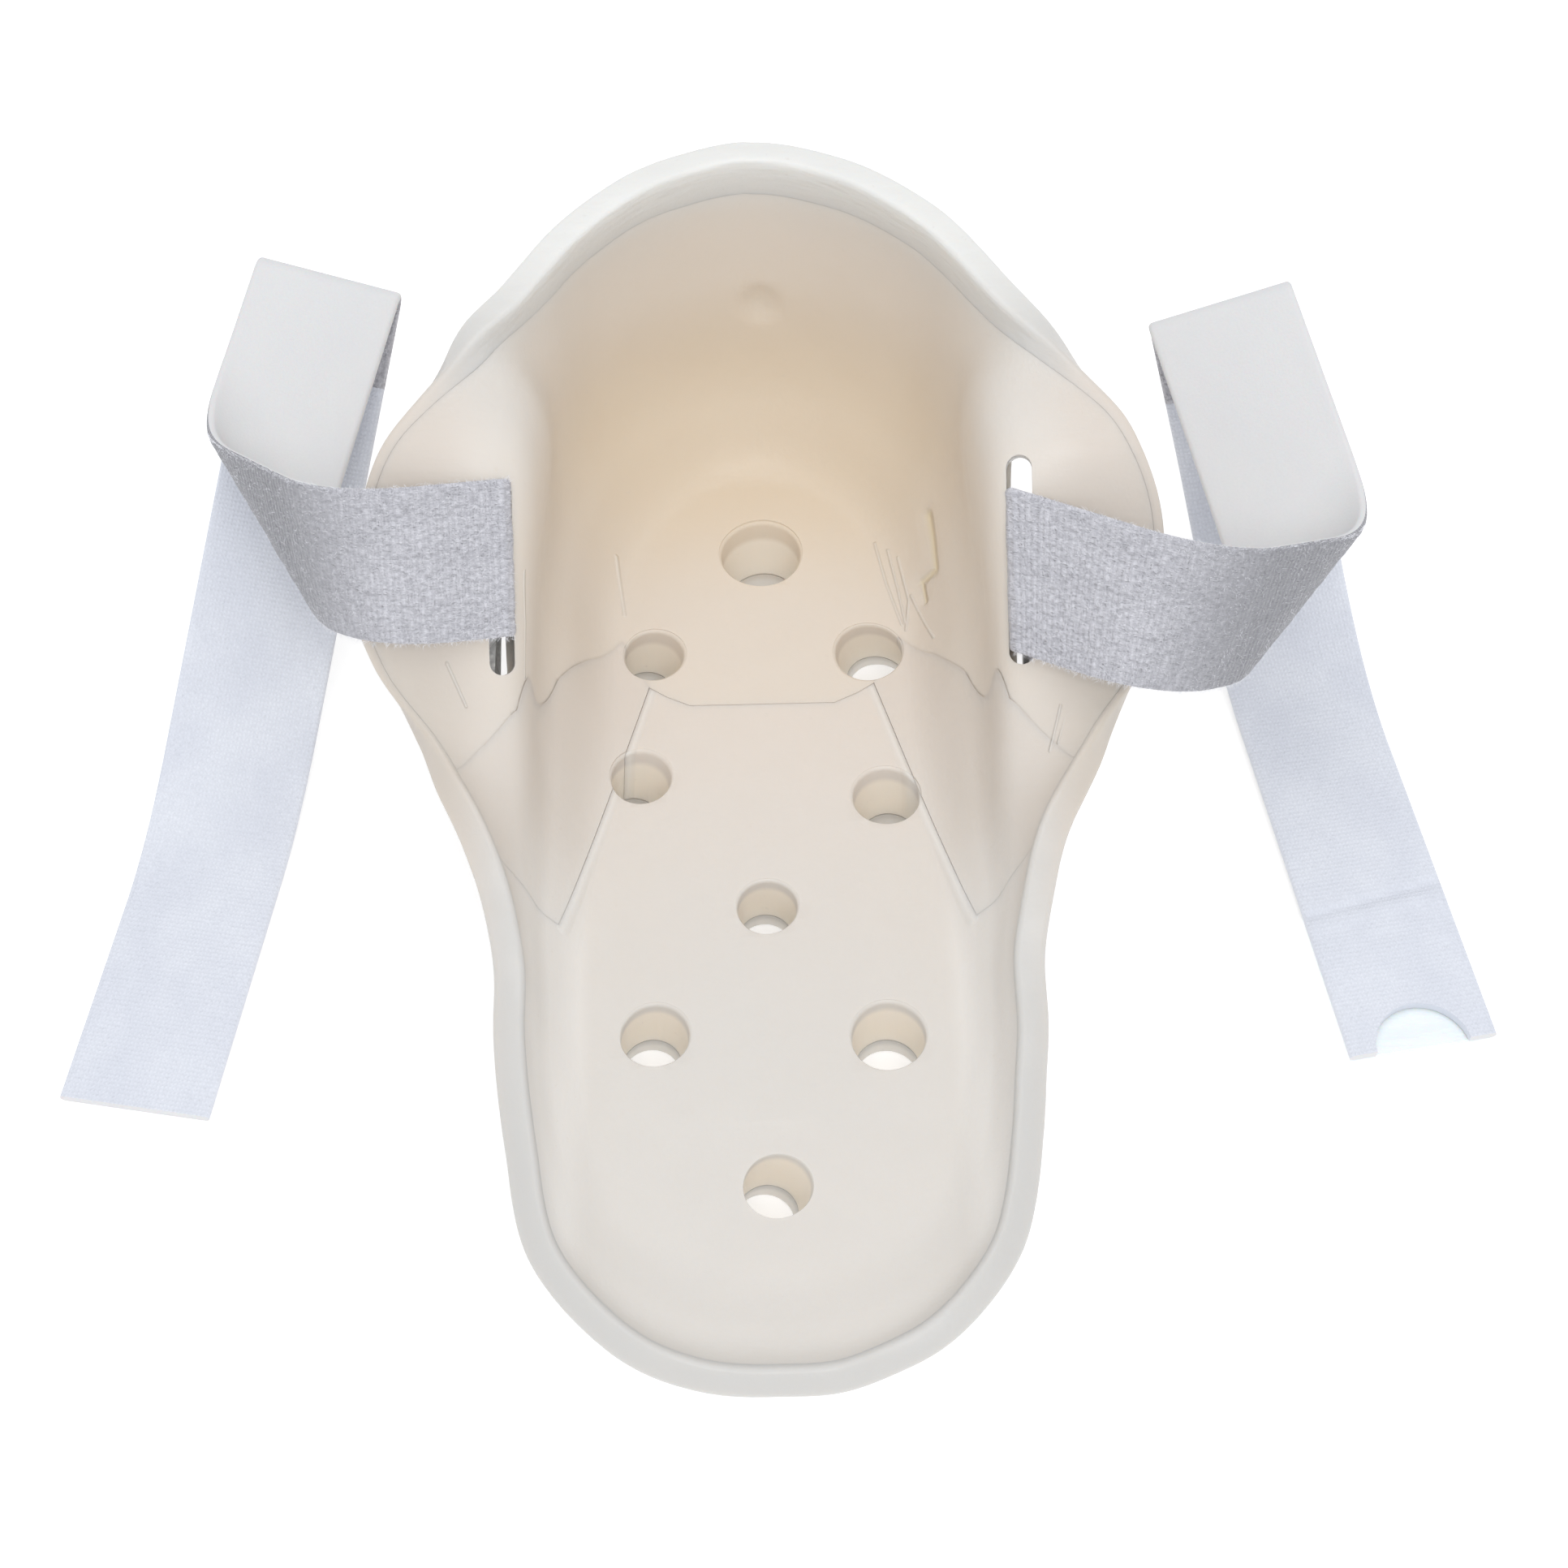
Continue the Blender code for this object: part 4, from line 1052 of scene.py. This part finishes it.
def columns():
    """Places across the strap, close together at its rounded edges, and the half thickness at each."""
    half, edge = STRAP_WIDTH / 2, STRAP_THICK / 2
    near = [half - edge * (1.0 - math.cos(a)) for a in np.radians((0.0, 25.0, 50.0, 70.0, 90.0))]
    middle = np.linspace(-(half - 1.5), half - 1.5, 27)
    t = np.array([-v for v in near] + middle.tolist() + near[::-1])
    over = np.clip((np.abs(t) - (half - edge)) / edge, 0.0, 1.0)
    return t, edge * np.sqrt(1.0 - over**2)


def pile_turn(strap):
    """1 or -1: which way round the strap's rows and columns put its pile face."""
    _, along, across, away = strap_frame(strap)
    return math.copysign(1.0, np.dot(np.cross(along, across), away))


def ribbon(name, middle, s, t, thick, mats, turn, relief=None):
    """A closed tape round a grid of middle points (rows, columns, 3). The pile side takes mats[0]."""
    along = np.gradient(middle, axis=0)
    across = np.gradient(middle, t, axis=1)
    normal = np.cross(along, across)
    normal *= turn / np.linalg.norm(normal, axis=2)[..., None]
    down = thick[None] + (0.0 if relief is None else relief)
    first = middle - normal * down[..., None]
    second = middle + normal * thick[None, :, None]
    rows, count = middle.shape[:2]
    loop = 2 * count - 2
    points = np.concatenate((first, second[:, -2:0:-1]), 1).reshape(-1, 3)
    faces, kinds = [], []
    for r in range(rows - 1):
        for c in range(loop):
            d = (c + 1) % loop
            faces.append((r * loop + c, r * loop + d, (r + 1) * loop + d, (r + 1) * loop + c))
            kinds.append(0 if c < count - 1 else 1)
    faces += [tuple(range(loop)), tuple((rows - 1) * loop + c for c in range(loop))]
    kinds += [1, 1]
    obj = new_object(name, points, faces, mats, STRAP_SMOOTH)
    obj.data.polygons.foreach_set("material_index", np.array(kinds, np.int32))
    t_loop = np.concatenate((t, t[-2:0:-1]))
    uv = np.stack(np.broadcast_arrays(s[:, None], t_loop[None]), 2).reshape(-1, 2) * MM
    layer = obj.data.uv_layers.new(name="strap")
    corner = np.zeros(len(obj.data.loops), np.int32)
    obj.data.loops.foreach_get("vertex_index", corner)
    layer.data.foreach_set("uv", uv[corner].ravel())
    return obj


def at_guide(grid, key, side):
    station = key * STEPS_ROUND
    if side < 0:
        station = STATIONS - station
    low = int(math.floor(station))
    share = station - low
    return grid[low % STATIONS] * (1.0 - share) + grid[(low + 1) % STATIONS] * share


def slot_points(side, keys, height):
    low, high, _, cut, _ = slot_frame(side)
    guide = [at_guide(CURVES[:, 2], k, side) for k in keys]
    along = (high - low) / np.linalg.norm(high - low)
    return np.array([low + along * np.dot(g - low, along) + cut * height for g in guide])


def spline_rows(rows, steps):
    """More rows between the given ones, on a smooth curve through them."""
    rows = np.array(rows)
    padded = np.concatenate((2 * rows[:1] - rows[1:2], rows, 2 * rows[-1:] - rows[-2:-1]))
    made = []
    for k in range(1, len(padded) - 2):
        for x in np.arange(steps) / steps:
            made.append(catmull_rom(x, *padded[k - 1 : k + 3]))
    made.append(rows[-1])
    return np.array(made)


def curl_rows(side, middle, s):
    """Rows that bring a strap's start round the slot's edge and down into the slot, and their places."""
    low, _, _, cut, _ = slot_frame(side)
    back = middle[0] - middle[1]
    back /= np.linalg.norm(back, axis=1)[:, None]
    drop = np.dot(middle[0, middle.shape[1] // 2] - low, cut) + CURL_DEPTH
    corner = middle[0] + back * CURL_REACH
    bottom = corner - cut * max(drop, CURL_REACH + 1.0)
    knee = corner - cut * CURL_REACH
    rows = []
    for x in np.linspace(0.0, 1.0, 9)[1:]:
        rows.append(middle[0] * (1 - x) ** 2 + corner * 2 * x * (1 - x) + knee * x * x)
    rows += [knee + (bottom - knee) * x for x in (0.33, 0.67, 1.0)]
    centre = np.array([row[len(row) // 2] for row in [middle[0]] + rows])
    places = s[0] - np.cumsum(np.linalg.norm(np.diff(centre, axis=0), axis=1))
    return np.array(rows)[::-1], places[::-1]


def anchor_middle(side, strap, t, bottom):
    """The strap's held end outside the wall and its way in through the slot, at the places t across it."""
    rest = WALL + PATCH_GAP + PATCH_THICK + STRAP_GAP + STRAP_THICK / 2
    path = [(u, rest) for u in PATCH_U + (ANCHOR_TURN_U,)]
    u = np.broadcast_to(np.array([p[0] for p in path]), (STATIONS, len(path)))
    grid = base_surface(u) + outward_normals(u) * rest
    keys = strap["at"] + ANCHOR_REACH * t / (STRAP_WIDTH / 2)
    held = np.stack([at_guide(grid, k, side) for k in keys], 1)
    last = bottom - slot_frame(side)[3] * SEAM_GAP
    through = np.stack([slot_points(side, keys, h) for h in SLOT_PASS] + [last])
    return spline_rows(np.concatenate((held, through)), 6)


def run_places(bends, first, last, step):
    """Places along the strap, finer in its tight bends."""
    s, places = first, []
    while s < last:
        places.append(s)
        tight = any(p - 6.0 < s < p + abs(a) * r + 6.0 for p, _, a, r in bends if r < 5.0)
        s += step * (0.45 if tight else 1.0)
    return np.array(places + [last])


def straight_ends(s, t, skew, ease):
    """The s of each (row, column), with the first row slanted and easing back to square."""
    share = np.clip(1.0 - (s - s[0]) / ease, 0.0, 1.0)[:, None]
    return s[:, None] + t[None] * skew * share


def strap_upper(side, strap, mats, name):
    bends = landed_bends(strap)
    place, _, angle, radius = strap["bends"][-1]
    split = place + abs(angle) * radius + SPLIT_PAST_FOLD
    t, thick = columns()
    s = run_places(bends, strap["curl"], split, 0.55)
    grid = straight_ends(s, t, strap["skew"], SKEW_EASE)
    middle = strap_points(strap, bends, grid, t, 0.0)
    curl, places = curl_rows(side, middle, s)
    middle = np.concatenate((curl, middle))
    s = np.concatenate((places, s))
    grid = np.concatenate((places[:, None] + 0.0 * t[None], grid))
    pile = table_noise(grid / 0.9 + 100.0, t[None] / 0.7 + 100.0, 21) * 0.09
    pile += table_noise(grid / 2.7 + 100.0, t[None] / 2.2 + 100.0, 22) * 0.07
    inside = np.clip((STRAP_WIDTH / 2 - np.abs(t)) / EDGE_MARGIN, 0.0, 1.0)[None]
    made = ribbon(name, middle, s, t, thick, mats, pile_turn(strap), pile * inside)
    return made, split, (grid, middle, t)


def strap_lower(strap, split, mats, name, crease):
    bends = landed_bends(strap)
    t, thick = columns()
    s = run_places(bends, split, strap["length"], 0.6)
    grid = s[:, None] + 0.0 * t[None]
    middle = strap_points(strap, bends, grid, t, 0.0)
    relief = table_noise(grid / 9.0 + 100.0, t[None] / 7.0 + 100.0, 31) * 0.06
    if crease:
        line = grid - (strap["length"] - TAB_LENGTH - 0.12 * t[None])
        relief -= 0.45 * np.exp(-((line / 0.7) ** 2))
        relief += 0.22 * np.exp(-(((line - 2.2) / 1.4) ** 2))
        lumps = table_noise(grid / 1.6 + 60.0, t[None] / 2.6 + 60.0, 33)
        relief += 0.12 * lumps * np.clip(line / 2.0, 0.0, 1.0) * np.clip((16.0 - line) / 8.0, 0.3, 1.0)
    inside = np.clip((STRAP_WIDTH / 2 - np.abs(t)) / EDGE_MARGIN, 0.0, 1.0)[None]
    return ribbon(name, middle, s, t, thick, mats, pile_turn(strap), relief * inside)


def fuzz(name, grid, middle, t, mat, turn, seed, count, reach):
    """Loose fibres of the loop pile: tiny closed spikes that stand off the strap's pile face."""
    random = np.random.default_rng(seed)
    along = np.gradient(middle, axis=0)
    along /= np.linalg.norm(along, axis=2)[..., None]
    across = np.gradient(middle, t, axis=1)
    across /= np.linalg.norm(across, axis=2)[..., None]
    normal = -turn * np.cross(along, across)
    rows = np.flatnonzero((grid[:, len(t) // 2] > -2.0) & (grid[:, 0] < reach))
    points, faces = [], []
    for k in range(count):
        edge = k % 3 == 0
        r = random.choice(rows)
        if edge:
            c = random.choice((1, 2, len(t) - 3, len(t) - 2))
        else:
            c = random.integers(3, len(t) - 3)
        side = math.copysign(1.0, t[c])
        a, b, n = along[r, c], across[r, c], normal[r, c]
        root = middle[r, c] + n * (0.45 if edge else 0.72) + b * random.uniform(-0.4, 0.4)
        root = root + a * random.uniform(-0.3, 0.3)
        lean = a * random.normal(0.0, 0.9)
        lean = lean + b * (side * random.uniform(0.4, 1.1) if edge else random.normal(0.0, 0.7))
        way = n * random.uniform(0.3, 0.8) + lean
        way *= random.uniform(0.5, 1.1) / np.linalg.norm(way)
        wide = random.uniform(0.022, 0.04)
        x = np.cross(way, n)
        x /= np.linalg.norm(x)
        y = np.cross(way, x)
        y /= np.linalg.norm(y)
        i = len(points)
        points += [root + x * wide]
        points += [root - x * 0.5 * wide + y * 0.87 * wide, root - x * 0.5 * wide - y * 0.87 * wide]
        points += [root + way]
        faces += [(i, i + 2, i + 1), (i, i + 1, i + 3), (i + 1, i + 2, i + 3), (i + 2, i, i + 3)]
    return new_object(name, points, faces, [mat])


def fibre_material(name):
    made, tree, shader = material_nodes(name)
    coords, _ = position(tree)
    color = mix(tree, noise(tree, coords, 400.0), (0.80, 0.81, 0.86), (0.95, 0.95, 0.98))
    tree.links.new(color, shader.inputs["Base Color"])
    fixed(shader, Roughness=0.4)
    return made


def cut_notch(obj, strap):
    """Cuts the half-moon out of the strap's end."""
    bends = landed_bends(strap)
    centre = strap["length"] + NOTCH_BEYOND
    outline = []
    for k in range(49):
        angle = math.pi / 2 + math.pi * k / 48
        outline.append((centre + NOTCH_RADIUS * math.cos(angle), NOTCH_RADIUS * math.sin(angle)))
    outline += [(centre + NOTCH_RADIUS, -NOTCH_RADIUS), (centre + NOTCH_RADIUS, NOTCH_RADIUS)]
    plan = strap_points(strap, bends, [p[0] for p in outline], [p[1] for p in outline], 0.0)
    points, faces = prism_mesh(plan, (0.0, 0.0, 1.0), 3.0)
    trim(obj, helper(new_object("notch_helper", points, faces)), "DIFFERENCE")
    smooth_by_angle(obj.data, STRAP_SMOOTH)


def tab_piece(strap, mat):
    """The smooth tab under the right strap's end."""
    bends = landed_bends(strap)
    end = strap["length"]
    half = STRAP_WIDTH / 2 - TAB_INSET
    s = np.linspace(end - TAB_LENGTH, end - TAB_INSET, 30)
    flat = np.linspace(-half + 1.0, half - 1.0, 13).tolist()
    t = np.array([-half, -half + 0.1, -half + 0.3] + flat + [half - 0.3, half - 0.1, half])
    over = np.clip((np.abs(t) - (half - 0.4)) / 0.4, 0.0, 1.0)
    thick = TAB_THICK / 2 * np.sqrt(np.clip(1.0 - over**2, 0.0, 1.0))
    grid = s[:, None] + 0.0 * t[None]
    level = STRAP_THICK / 2 + GAP + TAB_THICK / 2
    middle = strap_points(strap, bends, grid, t, level)
    return ribbon("notch_tab", middle, s, t, thick, [mat, mat], 1.0)


def camera():
    elevation, azimuth = math.radians(CAMERA_ELEVATION), math.radians(CAMERA_AZIMUTH)
    level = math.cos(elevation)
    back = Vector((math.sin(azimuth) * level, -math.cos(azimuth) * level, math.sin(elevation)))
    data = bpy.data.cameras.new("camera")
    data.lens, data.sensor_width = CAMERA_LENS, 36.0
    data.clip_start, data.clip_end = 0.01, 20.0
    obj = bpy.data.objects.new("camera", data)
    obj.rotation_mode = "QUATERNION"
    obj.location = Vector(CAMERA_AIM) + back * CAMERA_DISTANCE
    obj.rotation_quaternion = (-back).to_track_quat("-Z", "Y")
    bpy.context.scene.collection.objects.link(obj)
    bpy.context.scene.camera = obj


def lamp(name, location, size, power):
    data = bpy.data.lights.new(name, "AREA")
    data.shape = "DISK"
    data.size, data.energy = size, power
    obj = bpy.data.objects.new(name, data)
    obj.location = location
    obj.rotation_mode = "QUATERNION"
    obj.rotation_quaternion = (Vector(LAMP_AIM) - Vector(location)).to_track_quat("-Z", "Y")
    bpy.context.scene.collection.objects.link(obj)


def studio():
    world = bpy.data.worlds.new("studio")
    bpy.context.scene.world = world
    world.use_nodes = True
    sky = world.node_tree.nodes["Background"]
    fixed(sky, Color=SKY_COLOR, Strength=SKY_STRENGTH)
    for row in LAMPS:
        lamp(*row)
    made, tree, shader = material_nodes("pale_floor")
    coords, _ = position(tree)
    color = mix(tree, noise(tree, coords, 3.0), (0.90, 0.90, 0.90), (0.93, 0.93, 0.93))
    tree.links.new(color, shader.inputs["Base Color"])
    fixed(shader, Roughness=0.9, Emission_Color=(1.0, 1.0, 1.0, 1.0), Emission_Strength=FLOOR_GLOW)
    mesh = bpy.data.meshes.new("floor")
    corners = [(x * FLOOR_HALF, y * FLOOR_HALF, -FLOOR_DROP) for x, y in ((-1, -1), (1, -1), (1, 1), (-1, 1))]
    mesh.from_pydata(corners, [], [(0, 1, 2, 3)])
    mesh.materials.append(made)
    floor = bpy.data.objects.new("floor", mesh)
    bpy.context.scene.collection.objects.link(floor)
    view = bpy.context.scene.view_settings
    view.view_transform = "Standard"


def make_shell():
    # Painted highlight colour for the top of the heel's rim.
    rim = (0.77, 0.77, 0.75)
    # Painted glow for the hole walls: the height below which it starts, and its colour.
    bore, low_bore = (0.0116, (0.90, 0.83, 0.73)), (0.0030, (0.80, 0.78, 0.75))
    # The first colour here is painted warm shade for the heel's deep corner.
    heel_well_shade, lined = (0.77, 0.67, 0.54), (FLANK_LIGHT, rim, bore)
    shell_colors = ((0.61, 0.60, 0.58), (0.66, 0.63, 0.585), (0.72, 0.66, 0.59))
    shell_mat = cream_plastic("shell_plastic_look", *shell_colors, SHELL_FLANK, rim, low_bore, 0.36, 0.35)
    heel_colors = ((0.71, 0.68, 0.64), (0.75, 0.68, 0.60), heel_well_shade)
    heel_mat = cream_plastic("heel_foam_look", *heel_colors, *lined, 0.46, 0.3, SCRATCHES, TORN)
    sole_colors = ((0.69, 0.66, 0.62), (0.75, 0.685, 0.62), heel_well_shade)
    sole_mat = cream_plastic("sole_foam_look", *sole_colors, *lined, 0.46, 0.3, SEAM_HIGHLIGHTS)
    gusset_colors = ((0.70, 0.665, 0.62), (0.72, 0.655, 0.59), (0.72, 0.65, 0.56))
    gusset_mat = cream_plastic("gusset_foam_look", *gusset_colors, *lined, 0.42, 0.3, SCRATCHES)
    drills = [hole_mesh(*hole) for hole in HOLES]
    cutter = joined("drill_helper", drills + [slot_mesh(-1), slot_mesh(1)])
    shell = shell_piece("shell_body", cutter, shell_mat)
    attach(shell, "shell")
    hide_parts("outer_shell")
    regions = liner_regions()
    names = (
        ("heel_lining", "heel_liner", "liner_foam", heel_mat),
        ("sole_lining", "forefoot_liner", "liner_foam", sole_mat),
        ("gusset_right", "side_gusset_right", "gusset_foam", gusset_mat),
        ("gusset_left", "side_gusset_left", "gusset_foam", gusset_mat),
    )
    for outline, (name, node, slot, mat) in zip(regions, names):
        piece = liner_piece(name, region_cutter(name + "_helper", outline), cutter, mat)
        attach(piece, "shell")
        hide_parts(node)


def make_strap(side, name, mats):
    strap = STRAPS[name]
    pile, knit, tape, fibre = mats
    shell, run, end = "shell", f"strap_{name}_run", f"strap_{name}_end"
    t, thick = columns()
    upper, split, (grid, mid, t) = strap_upper(side, strap, [pile, tape], f"strap_{name}_upper")
    middle = anchor_middle(side, strap, t, mid[0])
    lengths = np.linalg.norm(np.diff(middle[:, len(t) // 2], axis=0), axis=1)
    s = np.concatenate(([0.0], np.cumsum(lengths))) - lengths.sum()
    held = ribbon(f"strap_{name}_held", middle, s, t, thick, [pile, tape], pile_turn(strap))
    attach(held, shell)
    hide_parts(f"strap_{name}_anchor")

    count = FIBRES
    fibres_name = f"strap_{name}_fibres"
    fibres = fuzz(fibres_name, grid, mid, t, fibre, pile_turn(strap), 40 + side, count, FIBRE_REACH)
    for piece in (upper, fibres):
        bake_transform(piece)
    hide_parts(run)

    lower = strap_lower(strap, split, [knit, tape], f"strap_{name}_lower", name == "right")
    if name == "right":
        cut_notch(lower, strap)
    bends = landed_bends(strap)
    place, skew, angle, radius = bends[-1]
    zone = abs(angle) * radius / math.cos(skew)
    ends = strap_points(strap, bends, [place, place + zone], 0.0, 0.0) * MM
    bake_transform(lower)
    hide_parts(end)


def make_straps():
    pile = pile_material("strap_pile_look", (0.70, 0.70, 0.75), (0.46, 0.46, 0.50))
    knit = knit_material("strap_knit_look", (0.80, 0.83, 0.90), (0.73, 0.76, 0.84))
    tape = smooth_tape_material("strap_smooth_look", (0.73, 0.735, 0.735), (0.685, 0.69, 0.705))
    fibre = fibre_material("strap_fibre_look")
    for side, name in ((-1, "left"), (1, "right")):
        make_strap(side, name, (pile, knit, tape, fibre))
    tab = tab_piece(STRAPS["right"], tab_material("tab_look"))
    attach(tab, "strap_right_end")
    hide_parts("hook_tab_right")
    hooks = hook_material("hook_look")
    for name in ("hook_patch_left", "hook_patch_right"):
        node = frame["nodes"][name]
        node.data.materials.clear()
        node.data.materials.append(hooks)


camera()
studio()
make_shell()
make_straps()
for obj in [o for o in bpy.data.objects if o.name.endswith("_helper")]:
    bpy.data.objects.remove(obj, do_unlink=True)
